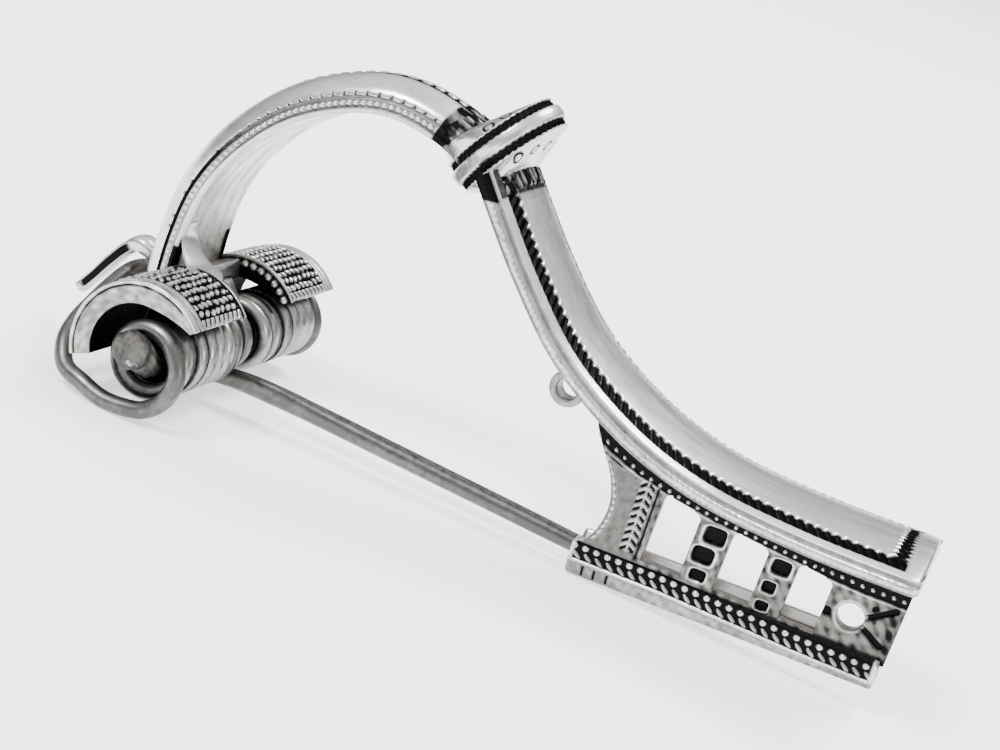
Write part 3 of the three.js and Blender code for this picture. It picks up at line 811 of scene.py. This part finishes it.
def make_tongue():
    """A pale tongue by which the bow's root runs out over the near cover."""
    at = np.linspace(0, 1, 90)
    place, *widths = np.array(TONGUE_SHAPE).T
    half, centre = (np.interp(at, place, width)[:, None] for width in widths)
    share = np.clip((at - 1 + TONGUE_END) / TONGUE_END, 0, 1)
    end = np.sqrt(np.clip(1 - share ** 2, 0.02, 1))[:, None]
    angle = round_angles(40)[None, :]
    sections = np.stack([
        centre + half * end * np.cos(angle), TONGUE_THICK * (end * np.sin(angle) - 0.3),
    ], axis=-1)
    patina_and_shade = 0.08 + 0.25 * np.abs(np.cos(angle)) ** 10 + 0 * half
    return tube_piece("root_tongue", sweep(TONGUE_LINE, sections, at), patina_and_shade, SILVER)


def squared(wave):
    """A sine or cosine pushed outwards, which squares an oval."""
    return np.sign(wave) * np.abs(wave) ** HOOK_SQUARE


def make_hook():
    """The hook that holds the chord: a dent, a knob, and a blade with a dark groove."""
    at = np.linspace(0, 1, 120)
    angle = round_angles(64)[None, :]
    half, thick = mix(HOOK_HALF, at)[:, None], mix(HOOK_THICK, at)[:, None] / 2
    y, h = half * squared(np.cos(angle)), thick * squared(np.sin(angle))
    blade = smooth(HOOK_BLADE[0], HOOK_BLADE[0] + 0.08, at) * smooth(HOOK_BLADE[1], HOOK_BLADE[1] - 0.04, at)
    groove = smooth(0.62, 0.45, np.abs(h) / thick) * blade[:, None]
    dent = smooth(0.6, 0.4, np.abs(h) / thick) * bump(at - HOOK_DENT, 0.07)[:, None]
    knob = bump(at - HOOK_KNOB, 0.07)[:, None]
    sections = np.stack([y * (1 + (0.1 * knob - 0.14 * groove) / half), h * (1 + 0.25 * knob)], axis=-1)
    patina_and_shade = 0.18 + 0.8 * np.maximum(groove, dent)
    return tube_piece("chord_hook", sweep(HOOK_LINE, sections, at), patina_and_shade, SILVER)


# ---- eyelet ----
EYELET = (28.65, 5.85)
EYELET_RADIUS = 1.35
EYELET_BORE = 0.8
EYELET_FACES = (-2.6, -0.7)


def make_eyelet():
    """The small ring beside the foot."""
    return make_washer("eyelet", lambda angle: EYELET_RADIUS, EYELET_BORE, EYELET, EYELET_FACES, 0.5)


# ---- catch-plate ----
PLATE_FACES = (-1.04, 0.06)
PLATE_FRONT = [(30.6, 6), (31.3, 3.6), (33.2, 0.5), (33.75, -1.6), (33.4, -3.6), (32.45, -5.3)]
PLATE_START = 34.6  # where the columns stop following the curved front
PLATE_END = 55.75
FRONT_STARTS_AT = 33.0  # first guess for where a row meets the front
PANES = ((37.1, 40.1), (42.65, 45.45), (47.75, 50.4))
PANE_CORNER = 0.55
SILL = -4.75  # lower edge of the panes
PLATE_LOW = -5.6
PLATE_HEIGHTS = (0.9, 4.4, 1.95)  # below the sill, up to the band and through it, for spacing the rows
LEAN = 0.06  # the bars lean by this share of their height
LEAN_FROM = (33.5, 36)  # which comes in between these x
PANEL_EDGE = (54.6, 55.4)  # the end panel darkens towards its edge
BAND_EDGE = [  # lower edge of the bead row under the foot
    (30, 3.4), (32.8, 2.1), (35, 1.25), (36.7, 0.82), (38, 0.52), (39.2, 0.32), (41.3, -0.03), (43.2, -0.2),
    (44.6, -0.35), (47.5, -0.62), (50.3, -0.97), (53, -1.12), (57, -1.12),
]
BEADS_UP = ((33, 0.45), (35, 0.34), (48.5, 0.3), (50.5, 0.5))  # how far above it the beads lie, by x
UNDER_FOOT = 0.95  # the band ends this far below the foot's line, inside the foot
DROP = ((33, 0), (39, 0.04), (45, 0.3), (49, 0.5), (54, 0.62))  # how far the tray's rows fall off, by x
SILL_FALL = 0.8  # the sill falls by this share of it
HOLE_RADIUS = 1.0
HERRING_X = 36.0
HERRING_HALF = 0.56
FRONT_LINE_X = 36.8  # a groove beside the herringbone
FRONT_END = 35.0  # the front's own beading and line lie before this
CELLS = (  # sunk cells in the two bars: x, z, half width, half height
    (41.72, -1.02, 0.8, 0.64), (41.3, -2.66, 0.78, 0.62), (41.36, -4.2, 0.58, 0.44),
    (46.85, -1.47, 0.68, 0.57), (46.43, -3.12, 0.48, 0.44), (46.35, -4.6, 0.46, 0.36),
)
CELL_DEPTH = 0.45
BARS = ((41.45, 1.2), (46.7, 1.1))  # middle and half width
STROKES = (((53.46, -2.75), (55.35, -1.5)), ((53.47, -3.5), (55.0, -4.35)))  # end panel: from and to
DOTS = ((53.95, -1.9, 0.24), (50.75, -3.2, 0.34))
PANEL_DEPTH = 0.25  # depth of the strokes and the dots


def along_x(table, x):
    """Value at x of a table of x and value."""
    return np.interp(x, *np.array(table).T)


def row_height(level, x, foot):
    """Height of a row: level 0 is the sill, 1 the lower edge of the beads and 2 the foot."""
    sill = SILL - SILL_FALL * along_x(DROP, x)
    band = along_x(BAND_EDGE, x)
    if level <= 0:
        return sill + (sill - PLATE_LOW) * level
    if level <= 1:
        return sill + (band - sill) * level
    return band + (along_x(foot, x) - UNDER_FOOT - band) * (level - 1)


def plate_rows(levels, lead, body):
    """x and z of the grid. Each row starts at the curved front: lead shares out its stretch up to
    PLATE_START, and body gives the columns from there."""
    front, foot = catmull(PLATE_FRONT)[0], catmull(FOOT_LINE)[0]
    rows = []
    for level in levels:
        start = FRONT_STARTS_AT
        for _ in range(12):
            start = float(np.interp(-row_height(level, start, foot), -front[:, 1], front[:, 0]))
        x = np.concatenate([start + (body[0] - start) * lead, body])
        z = row_height(level, x, foot)
        rows.append((x + LEAN * (z - SILL) * smooth(*LEAN_FROM, x), z))
    return np.array(rows).transpose(1, 0, 2)


def plate_band(skin, x, z, level):
    """The bead row on black under the foot, and the mottled ground."""
    above = z - along_x(BAND_EDGE, x)
    row = beads(x + 0.5 * above * (x > 49.5), above - along_x(BEADS_UP, x), *BAND_BEAD)
    mottle = np.sin(2.1 * x + 3.3 * z) * np.sin(3.9 * x - 2.7 * z) + 0.5 * np.sin(7.3 * x + 5.9 * z)
    ground = np.where((x < 36.5) & (level < 1), 0.62 + 0.02 * mottle, 0.63 + 0.11 * mottle)
    skin.set(True, ground + 0.12 * smooth(*PANEL_EDGE, x))
    skin.set(level > 1, 0.98 - 4.9 * row, row - 0.1)
    skin.patina_and_shade = np.maximum(skin.patina_and_shade - 0.4 * bump(above + 0.06, 0.06), 0)
    skin.darken(0.9 * bump(above + 0.24, 0.05) * (x < 35.2))


def plate_front(skin, x, z, level):
    """A fine beading along the curved front edge, and a line behind it."""
    front = x - x[:, :1]
    near = (level < 1) & (x < FRONT_END)
    beading = beads(z, front - 0.28, *FRONT_BEAD) * near * (z > -4.6)
    skin.relief += beading
    skin.set(beading > 0.01, 0.05)
    skin.set((np.abs(front - 0.5) < 0.07) & near & (level > 0), 0.55)


def herringbone(skin, x, z, level):
    """An upright strip of herringbone with a bright spine, and a groove beside it."""
    aside = x - (HERRING_X + 0.03 * (z + 1.6))
    strip = smooth(HERRING_HALF + 0.06, HERRING_HALF - 0.06, np.abs(aside)) * (level < 1) * (z > -4.4)
    strokes = smooth(0.35, 0.75, ripple(z + 0.7 * np.abs(aside), 0.62)) * (1 - bump(aside, 0.07))
    skin.patina_and_shade *= 1 - 0.6 * strip
    skin.cut(strip * strokes, 0.12, 0.95)
    skin.cut(bump(x - (FRONT_LINE_X + 0.03 * (z + 1.8)), 0.12) * (level < 1) * (z > -4.7), 0.12)


def bar_cells(skin, x, z, _):
    """Sunk black cells in the two bars, with a bright ridge round each."""
    in_bar = sum(np.abs(x - middle) < half for middle, half in BARS)
    for cell_x, cell_z, half_x, half_z in CELLS:
        aside, up = x - cell_x - LEAN * (z - cell_z), z - cell_z
        reach = (np.abs(aside / half_x) ** 4 + np.abs(up / half_z) ** 4) ** 0.25
        ridge = bump(reach - 1.2, 0.12) * in_bar
        skin.relief += 0.08 * ridge
        skin.patina_and_shade *= 1 - 0.9 * ridge
        skin.cut(smooth(1.05, 0.85, reach), CELL_DEPTH)


def end_panel(skin, x, z, _):
    """Strokes and dots in the end panel, and a bright ring round its hole."""
    for (x0, z0), (x1, z1) in STROKES:
        dx, dz = x1 - x0, z1 - z0
        share = np.clip(((x - x0) * dx + (z - z0) * dz) / (dx ** 2 + dz ** 2), 0, 1)
        skin.cut(smooth(0.26, 0.16, np.hypot(x - x0 - share * dx, z - z0 - share * dz)), PANEL_DEPTH)
    for dot_x, dot_z, radius in DOTS:
        skin.cut(past(radius, np.hypot(x - dot_x, z - dot_z)), PANEL_DEPTH)
    ring = bump(np.hypot(x - HOLE[0], z - HOLE[1]) - HOLE_RADIUS - 0.12, 0.1)
    skin.patina_and_shade *= 1 - 0.6 * ring


def plate_openings(x, z, u, levels):
    """Which cells the hole and the panes cut away, and the arcs that round them: centre, radius, and
    1 or -1 for a pane's right or left upper corner."""
    mid_x, mid_z = ((v[:-1, :-1] + v[1:, :-1] + v[:-1, 1:] + v[1:, 1:]) / 4 for v in (x, z))
    mid_u = ((u[:-1] + u[1:]) / 2)[None, :]
    mid_level = ((levels[:-1] + levels[1:]) / 2)[:, None]
    top_row = int(np.argmin(np.abs(levels - 1)))
    open_cell = np.hypot(mid_x - HOLE[0], mid_z - HOLE[1]) < HOLE_RADIUS
    arcs = [(HOLE, HOLE_RADIUS, 0)]
    for low, high in PANES:
        in_pane = (mid_u > low) & (mid_u < high) & (mid_level > 0) & (mid_level < 1)
        for hand, edge in ((-1, low), (1, high)):
            column = int(np.argmin(np.abs(u - edge)))
            centre = (x[top_row, column] - hand * PANE_CORNER, z[top_row, column] - PANE_CORNER)
            arcs.append((centre, PANE_CORNER, hand))
            beyond = (hand * (mid_x - centre[0]) > 0) & (mid_z > centre[1])
            in_pane &= ~(beyond & (np.hypot(mid_x - centre[0], mid_z - centre[1]) > PANE_CORNER))
        open_cell |= in_pane
    return open_cell, arcs


def kept_cells(open_cell, columns):
    """Quads of the cells that stay, and the edges along which they stop."""
    r, c = np.nonzero(~open_cell)
    first = r * columns + c
    quads = np.stack([first, first + 1, first + columns + 1, first + columns], axis=1)
    links = {(a, b) for quad in quads.tolist() for a, b in zip(quad, quad[1:] + quad[:1])}
    return quads, [(a, b) for a, b in links if (b, a) not in links]


def round_openings(flat, sheets, rim, arcs, nearness):
    """Moves the rims' points that lie near an arc on to it, in every sheet."""
    for centre, radius, hand in arcs:
        offset = flat[rim] - centre
        away = np.hypot(*offset.T)
        near = np.abs(away - radius) < nearness
        if hand:
            near &= (hand * offset[:, 0] > 0) & (offset[:, 1] > 0)
        moved = np.array(centre) + offset[near] / away[near, None] * radius
        for sheet in sheets:
            sheet[rim[near], 0], sheet[rim[near], 2] = moved.T


def make_plate():
    """The pierced plate under the foot: two sheets with the same openings, and walls between them."""
    fine = 0.08 * COARSE
    counts = [int(height / fine) for height in PLATE_HEIGHTS]
    levels = divided([(-1, 0), (0, 0), (1, 0), (2, 0)], counts)[:, 0]
    edges = [PLATE_START, *(edge for pane in PANES for edge in pane), PLATE_END]
    body = resample([(edge, 0) for edge in edges], fine)[:, 0]
    lead = np.linspace(0, 1, int(2.6 / fine), endpoint=False)
    x, z = plate_rows(levels, lead, body)
    level = levels[:, None]
    skin = Skin(x.shape)
    for ornament in (plate_band, plate_front, herringbone, bar_cells, end_panel):
        ornament(skin, x, z, level)
    walls = (PLATE_FACES[0] - skin.relief, PLATE_FACES[1] + 0 * x)
    sheets = [np.stack([x, wall, z], axis=-1).reshape(-1, 3) for wall in walls]
    open_cell, arcs = plate_openings(x, z, np.concatenate([0 * lead, body]), levels)
    quads, border = kept_cells(open_cell, x.shape[1])
    flat = np.stack([x, z], axis=-1).reshape(-1, 2)
    round_openings(flat, sheets, np.unique(border), arcs, 1.6 * fine)
    faces = quads.tolist() + (quads[:, ::-1] + x.size).tolist()
    faces += [[b, a, a + x.size, b + x.size] for a, b in border]
    used = np.unique(np.concatenate([quads.reshape(-1), quads.reshape(-1) + x.size]))
    index = np.full(2 * x.size, -1)
    index[used] = np.arange(len(used))
    faces = [[int(index[i]) for i in face] for face in faces]
    patina_and_shade = np.concatenate([skin.patina_and_shade.reshape(-1), np.full(x.size, 0.35)])
    return piece("catch_plate", np.vstack(sheets)[used], faces, patina_and_shade[used], SILVER)


# ---- tray ----
TRAY_RANGE = (32.0, 55.4)
TRAY_FACES = (-1.35, 2.5)
TRAY_TOP = -4.9
TRAY_FLOOR = -7.05
TRAY_BOTTOM = -7.65
TRAY_CHANNEL = 1.85
TRAY_CORNER = 0.8
CHAMFER = (0.4, 0.85)  # of the far wall's inner edge: across and down
TRAY_ROUND = 0.3
TRAY_NOTCHES = (33.3, 34.2, 35.2)
NOTCH_ENDS = (-7.5, -6.6)  # the notches' lower and upper ends
BEADS_Z, LEAVES_Z, LEDGE_Z, LINE_Z = -5.27, -5.92, -6.34, -6.5  # rows of the near face, top to bottom
BAND_FOOT_Z = -6.25  # the black ground ends here


def tray_section(fine):
    """y and z round the section, and how many of its points are on the near face."""
    (near, far), inner = TRAY_FACES, PLATE_FACES[1]
    turn = np.linspace(0, math.pi / 2, 9)
    low = TRAY_BOTTOM + TRAY_CORNER * (1 - np.sin(turn))
    corner = np.stack([near + TRAY_CORNER * (1 - np.cos(turn)), low], axis=-1)
    back = np.stack([far - TRAY_CORNER * (1 - np.cos(turn)), low], axis=-1)[::-1]
    brow = (near + 0.25, TRAY_TOP)
    front = resample(np.vstack([brow, (near, TRAY_TOP - 0.12), corner]), fine)
    rest = resample(np.vstack([
        corner[-1:], back, (far, TRAY_TOP - 0.15), (far - 0.15, TRAY_TOP),
        (TRAY_CHANNEL + CHAMFER[0], TRAY_TOP), (TRAY_CHANNEL, TRAY_TOP - CHAMFER[1]),
        (TRAY_CHANNEL, TRAY_FLOOR), (inner, TRAY_FLOOR), (inner, TRAY_TOP), brow,
    ]), 0.3)[1:-1]
    return np.vstack([front, rest]), len(front)


def tray_face(skin, x, z, away, length, on_face):
    """Rows of beads and leaves on black ground, over a ledge and a line."""
    big = beads(x, z - BEADS_Z, *TRAY_BEAD)
    leaf = beads(x - 0.35 + 0.9 * (z - LEAVES_Z), z - LEAVES_Z, *LEAF)
    band = on_face * past(z, BAND_FOOT_Z) * smooth(0.15, 0.45, away) * smooth(0.2, 0.5, length - away)
    skin.set(True, band * np.clip(1.0 - 4.6 * (big + leaf), 0, 1), band * (big + leaf - 0.1))
    ledge = on_face * bump(z - LEDGE_Z, 0.06)
    skin.relief += 0.04 * ledge
    skin.patina_and_shade *= 1 - ledge
    skin.cut(on_face * bump(z - LINE_Z, 0.05), 0.05, 0.6)


def make_tray():
    """The channel under the plate that the pin's point lies in."""
    fine = 0.06 * COARSE
    section, front = tray_section(fine)
    length = TRAY_RANGE[1] - TRAY_RANGE[0]
    ends = round_steps(TRAY_ROUND, 6)
    span = np.linspace(TRAY_ROUND, length - TRAY_ROUND, int(length / (1.6 * fine)))
    away = np.concatenate([ends[::-1], span, length - ends])[:, None]
    x = TRAY_RANGE[0] + away
    y, z = section[:, 0][None, :] + 0 * x, section[:, 1][None, :]
    inner = PLATE_FACES[1]
    on_face = (np.arange(len(section)) < front)[None, :] & (z > TRAY_BOTTOM + 0.1)
    drop = along_x(DROP, x)
    z = z - SILL_FALL * drop * (np.abs(z - TRAY_TOP) < 0.2) * (y <= inner + 0.01)
    skin = Skin(z.shape)
    tray_face(skin, x, z + drop, away, length, on_face)
    for notch in TRAY_NOTCHES:
        upright = past(z, NOTCH_ENDS[0] - 0.025, 0.075) * past(NOTCH_ENDS[1] + 0.025, z, 0.075)
        skin.cut(on_face * bump(x - notch, 0.15) * upright, 0.16)
    mottle = np.sin(1.7 * x) * np.sin(4.3 * x + 5 * z) + 0.5 * np.sin(9.1 * x - 4 * z)
    plain = on_face & (z + drop < LINE_Z - 0.05)
    skin.darken(plain * (0.4 + 0.08 * mottle + 0.15 * smooth(-6.9, -7.5, z)))
    inside = (y >= inner - 0.01) & (y <= TRAY_CHANNEL + 0.01) & (z < TRAY_TOP - 0.05) & ~on_face
    wall = (y > TRAY_CHANNEL - 0.01) & (z > -6.0)
    # painted shade: the channel's inside is painted dark, all but its upper far wall
    skin.set(inside & ~wall & (z > TRAY_BOTTOM + 0.4), 0.75)
    skin.relief -= 0.6 * TRAY_ROUND * rounded(np.minimum(away, length - away), TRAY_ROUND)
    sections = skin.over(np.stack([y, z], axis=-1))
    grid = np.stack([x + 0 * y, sections[..., 0], sections[..., 1]], axis=-1)
    return tube_piece("catch_tray", grid, skin.patina_and_shade, SILVER)


# ---- spring, pin and rod ----
COIL_RADIUS = 2.38
COIL_PITCH = 1.36
COIL_START = 1.62
COIL_TURNS = 8
COIL_STEPS = 40  # points in a turn
WIRE_RADIUS = 0.65
SPRING_GAP = 12 / 360  # of a turn, where the pin's wire is parted from the spring's
LOOP_OPENING = (1.17, 0.45)  # how far the near and the far end loop open
LOOP_OPENING_TURN = 0.34
CHORD_NEAR = [(-1.3, -12.45, -4.0), (-3.4, -12.3, -3.4), (-5.2, -11.8, -2.85)]
CHORD_HALF = [
    (-6.25, -10.7, -1.5), (-6.6, -9.1, -0.35), (-6.7, -7, 0.7), (-6.9, -4.4, 1.65), (-7.1, -1.7, 2.35),
]
CHORD_MIDDLE = (-7.15, 0, 2.5)
CHORD_FAR = [(-5.2, 11.8, -2.8), (-3.2, 12.3, -3.05), (-1.3, 12.45, -3.25)]
PIN_SHAFT = [  # x, y, z, half breadth, half depth
    (2.2, -1.52, -2.74, 0.62, 0.72), (3.9, -1.27, -2.7, 0.6, 0.88), (6.7, -0.85, -2.93, 0.62, 0.95),
    (10.5, -0.45, -3.38, 0.72, 0.84), (17.8, 0.05, -4.25, 0.76, 0.78), (24, 0.5, -5.0, 0.75, 0.75),
    (29.5, 0.8, -5.64, 0.73, 0.73), (33.5, 0.94, -6.08, 0.68, 0.66), (36.8, 0.95, -6.3, 0.5, 0.48),
    (39.4, 0.95, -6.42, 0.14, 0.14),
]
WIRE_TONE = 0.52  # patina of the end loops and the chord
TURN_TONE = 0.06
PIN_TONE = 0.47
PACKED_Y, PACKED_X = (12.2, 11.6), (-3.2, -2.2)  # turns lie close together inside these limits
LUMP_FROM = (-11.9, -12.6)  # the rod swells into its lump between these y
ROD_RADIUS = 1.2
ROD_REACH = 13.9
LUMP_RADIUS = 1.46
LUMP_SHIFT = (-0.8, 0.75)  # the lump leans out of the rod's line by this
LUMP_FACE = 0.9  # depth of its rounded face
BREAK_AT, BREAK_HALF = (0.55, -0.72), (1.1, 0.6)  # its bright break: middle and half sizes


def coil(from_turn, opening, side):
    """Points of half the spring, from a turn near the middle to its opened end loop."""
    turn = np.linspace(from_turn, COIL_TURNS, int((COIL_TURNS - from_turn) * COIL_STEPS))
    opened = np.clip(1 - (COIL_TURNS - turn) / LOOP_OPENING_TURN, 0, 1)
    radius = COIL_RADIUS + opening * opened
    angle = -math.pi / 2 - turn * 2 * math.pi
    x, z = COIL_AXIS[0] + radius * np.cos(angle), COIL_AXIS[1] + radius * np.sin(angle)
    return np.stack([x, side * (COIL_START + turn * COIL_PITCH), z], axis=-1)


def wire_piece(name, points, breadths, depths, tone_of, body):
    """A wire through the points, with half its breadth, across y, and half its depth at each."""
    tangents = np.gradient(points, axis=0)
    tangents /= np.linalg.norm(tangents, axis=1)[:, None]
    across = np.array([0.0, 1.0, 0.0])
    angle = round_angles(20)
    rows = []
    for point, along, breadth, depth in zip(points, tangents, breadths, depths):
        across = across - along * across.dot(along)
        across /= np.linalg.norm(across)
        up = np.cross(along, across)
        rows.append(point + np.outer(breadth * np.cos(angle), across) + np.outer(depth * np.sin(angle), up))
    grid = np.array(rows)
    return tube_piece(name, grid, tone_of(grid, angle), WIRE, body=body, slot="silver_wire")


def coil_tone(grid, angle):
    """Painted shade lies on the sides of turns where they nearly touch, but not on the end loops and the
    chord.
    """
    x, y = (grid[..., k].mean(axis=1)[:, None] for k in (0, 1))
    packed = smooth(*PACKED_Y, np.abs(y)) * smooth(*PACKED_X, x)
    # the flanks of packed turns that face their neighbours are painted dark: painted shade
    return mix((WIRE_TONE, TURN_TONE), packed) + 0.8 * packed * np.abs(np.cos(angle)) ** 7


def pin_tone(grid, angle):
    """The pin is painted darker along its upper side: painted shade."""
    return PIN_TONE + 0.16 * smooth(0.2, 0.9, np.sin(angle)) + 0 * grid[..., 0]


def make_spring():
    """The spring: both coils and the chord between their end loops."""
    near = coil(1 + SPRING_GAP, LOOP_OPENING[0], -1)
    far = coil(0, LOOP_OPENING[1], 1)[::-1]
    mirrored_half = np.array(CHORD_HALF)[::-1] * (1, -1, 1)
    knots = np.vstack([near[-3:-1], CHORD_NEAR, CHORD_HALF, CHORD_MIDDLE, mirrored_half, CHORD_FAR, far[1:3]])
    chord = catmull(knots, 220)[0]
    points = np.vstack([near[:-3], chord, far[3:]])
    thick = np.full(len(points), WIRE_RADIUS)
    return wire_piece("spring_wire", points, thick, thick, coil_tone, "brooch")


def make_pin():
    """The pin and the turn of the spring that it springs from."""
    turn = coil(0, 0, -1)[:int(COIL_STEPS * (1 - SPRING_GAP))][::-1]
    turn = np.hstack([turn, np.full((len(turn), 2), WIRE_RADIUS)])
    shaft = catmull(np.vstack([turn[-4:], PIN_SHAFT]), 200)[0]
    points = np.vstack([turn[:-4], shaft])
    return wire_piece("pin_wire", points[:, :3], points[:, 3], points[:, 4], pin_tone, "pin")


def make_rod():
    """The iron rod and the rough lump on its near end, which leans up out of the end loop.
    The lump's face is rounded, and broken bright low on its outer side. The rod behind the lump is painted
    black, a painted shadow."""
    face = np.linspace(0.04, 1, 26)
    tip = 0.02 - ROD_REACH + LUMP_FACE * (1 - np.sqrt(1 - (0.98 * face) ** 2))
    reach = np.concatenate([tip, np.linspace(-12.95, ROD_REACH, 180)])
    lump = smooth(*LUMP_FROM, reach)
    far_end = np.sqrt(np.clip((ROD_REACH + 0.05 - reach) / 0.4, 0.05, 1))
    radius = mix((ROD_RADIUS, LUMP_RADIUS), lump) * far_end
    radius[:len(face)] *= face
    angle = round_angles(72)[None, :]
    along, lump = reach[:, None], lump[:, None]
    rough = 1 - 0.05 * np.sin(3 * angle + 1.1 * along) ** 2
    rough -= 0.04 * np.sin(5 * angle - 2.3 * along + 0.7) ** 2
    rough -= 0.03 * np.sin(11 * angle + 3.1 * along) * np.sin(4.7 * along + 0.4)
    r = radius[:, None] * np.minimum(rough, 1.0)
    right, up = -r * np.cos(angle), r * np.sin(angle)
    gap = np.hypot((right - BREAK_AT[0]) / BREAK_HALF[0], (up - BREAK_AT[1]) / BREAK_HALF[1])
    broken = smooth(0.66, 0.3, gap) * (along < LUMP_FROM[1])
    grain = np.sin(19 * right + 3 * up) * np.sin(23 * up - 5 * right)
    pitted = np.sin(6 * right + 1) * np.sin(7 * up) * (along < -13)
    y = along + broken * (0.05 + 0.04 * grain) + 0.03 * pitted
    grid = np.stack([
        COIL_AXIS[0] + LUMP_SHIFT[0] * lump + right, y, COIL_AXIS[1] + LUMP_SHIFT[1] * lump + up,
    ], axis=-1)
    # the rod behind the lump gets patina 0.9: painted black as a painted shadow
    return tube_piece("rod_lump", grid, 0.9 * (1 - lump) - 0.52 * broken, IRON, slot="iron")


# ---- what each piece replaces ----
body_pieces = (
    make_bow(), make_foot(), make_collar(), make_cover(-1), make_cover(1), make_head(), make_lug(),
    make_hook(), make_tongue(), make_eyelet(), make_plate(), make_tray(),
)
for item in body_pieces:
    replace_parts(item, "body")
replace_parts(make_spring(), "spring")
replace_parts(make_pin(), "pin")
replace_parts(make_rod(), "axis_rod")

# ---- camera, floor and light ----
EYE = (60.30, -139.26, 42.52)
LOOK = (-0.25042, 0.93380, -0.25556)
RIGHT = (0.90858, 0.31783, 0.27104)
LENS = 73.5
FLOOR_REACH = 12.0  # metres
LIGHTS = (  # name, place and size in metres, power in watts
    ("key", (-0.55, -0.95, 1.25), 0.45, 34), ("top", (0.35, 0.75, 1.35), 0.6, 28),
    ("fill", (1.5, -0.6, 0.45), 0.5, 9),
)
SKY = (0.3, 1.6)  # the world's strength low down and overhead


def make_camera():
    """The camera, whose eye and directions are given in the drawing plane."""
    turn = Matrix.Rotation(-TILT, 3, "Y")
    right, look = turn @ Vector(RIGHT), turn @ Vector(LOOK)
    camera = bpy.data.objects.new("camera", bpy.data.cameras.new("camera"))
    camera.data.lens = LENS
    camera.data.sensor_width = 36
    camera.data.clip_start = 0.005
    rotation = Matrix((right, right.cross(look), -look)).transposed()
    camera.matrix_world = Matrix.Translation(Vector(to_frame(EYE))) @ rotation.to_4x4()
    bpy.context.scene.collection.objects.link(camera)
    bpy.context.scene.camera = camera


def make_floor():
    """A wide pale floor. It glows, to stay paler than the lights would make it."""
    mesh = bpy.data.meshes.new("floor")
    corners = [(FLOOR_REACH * x, FLOOR_REACH * y, 0) for x, y in ((-1, -1), (1, -1), (1, 1), (-1, 1))]
    mesh.from_pydata(corners, [], [(0, 1, 2, 3)])
    material = bpy.data.materials.new("pale floor")
    material.use_nodes = True
    inputs = material.node_tree.nodes["Principled BSDF"].inputs
    inputs["Base Color"].default_value = (0.93, 0.93, 0.93, 1)
    inputs["Roughness"].default_value = 0.9
    inputs["Emission Color"].default_value = (1, 1, 1, 1)
    inputs["Emission Strength"].default_value = 1.0
    mesh.materials.append(material)
    floor = bpy.data.objects.new("floor", mesh)
    bpy.context.scene.collection.objects.link(floor)


def make_light(name, place, size, power):
    """A round softbox that faces the brooch."""
    light = bpy.data.lights.new(name, "AREA")
    light.shape = "DISK"
    light.size = size
    light.energy = power
    lamp = bpy.data.objects.new(name, light)
    lamp.location = place
    lamp.rotation_euler = (-Vector(place)).to_track_quat("-Z", "Y").to_euler()
    bpy.context.scene.collection.objects.link(lamp)


def make_world():
    """A pale room that is brighter overhead than near the floor."""
    world = bpy.data.worlds.new("studio")
    world.use_nodes = True
    tree = world.node_tree
    place = node(tree, "ShaderNodeTexCoord")
    split = node(tree, "ShaderNodeSeparateXYZ")
    tree.links.new(place.outputs["Generated"], split.inputs["Vector"])
    strength = mapped(tree, split.outputs["Z"], 0.05, 0.75, *SKY, "SMOOTHSTEP")
    background = tree.nodes["Background"]
    tree.links.new(strength, background.inputs["Strength"])
    background.inputs["Color"].default_value = (1, 1, 1, 1)
    bpy.context.scene.world = world


make_floor()
make_world()
for lamp_values in LIGHTS:
    make_light(*lamp_values)
make_camera()
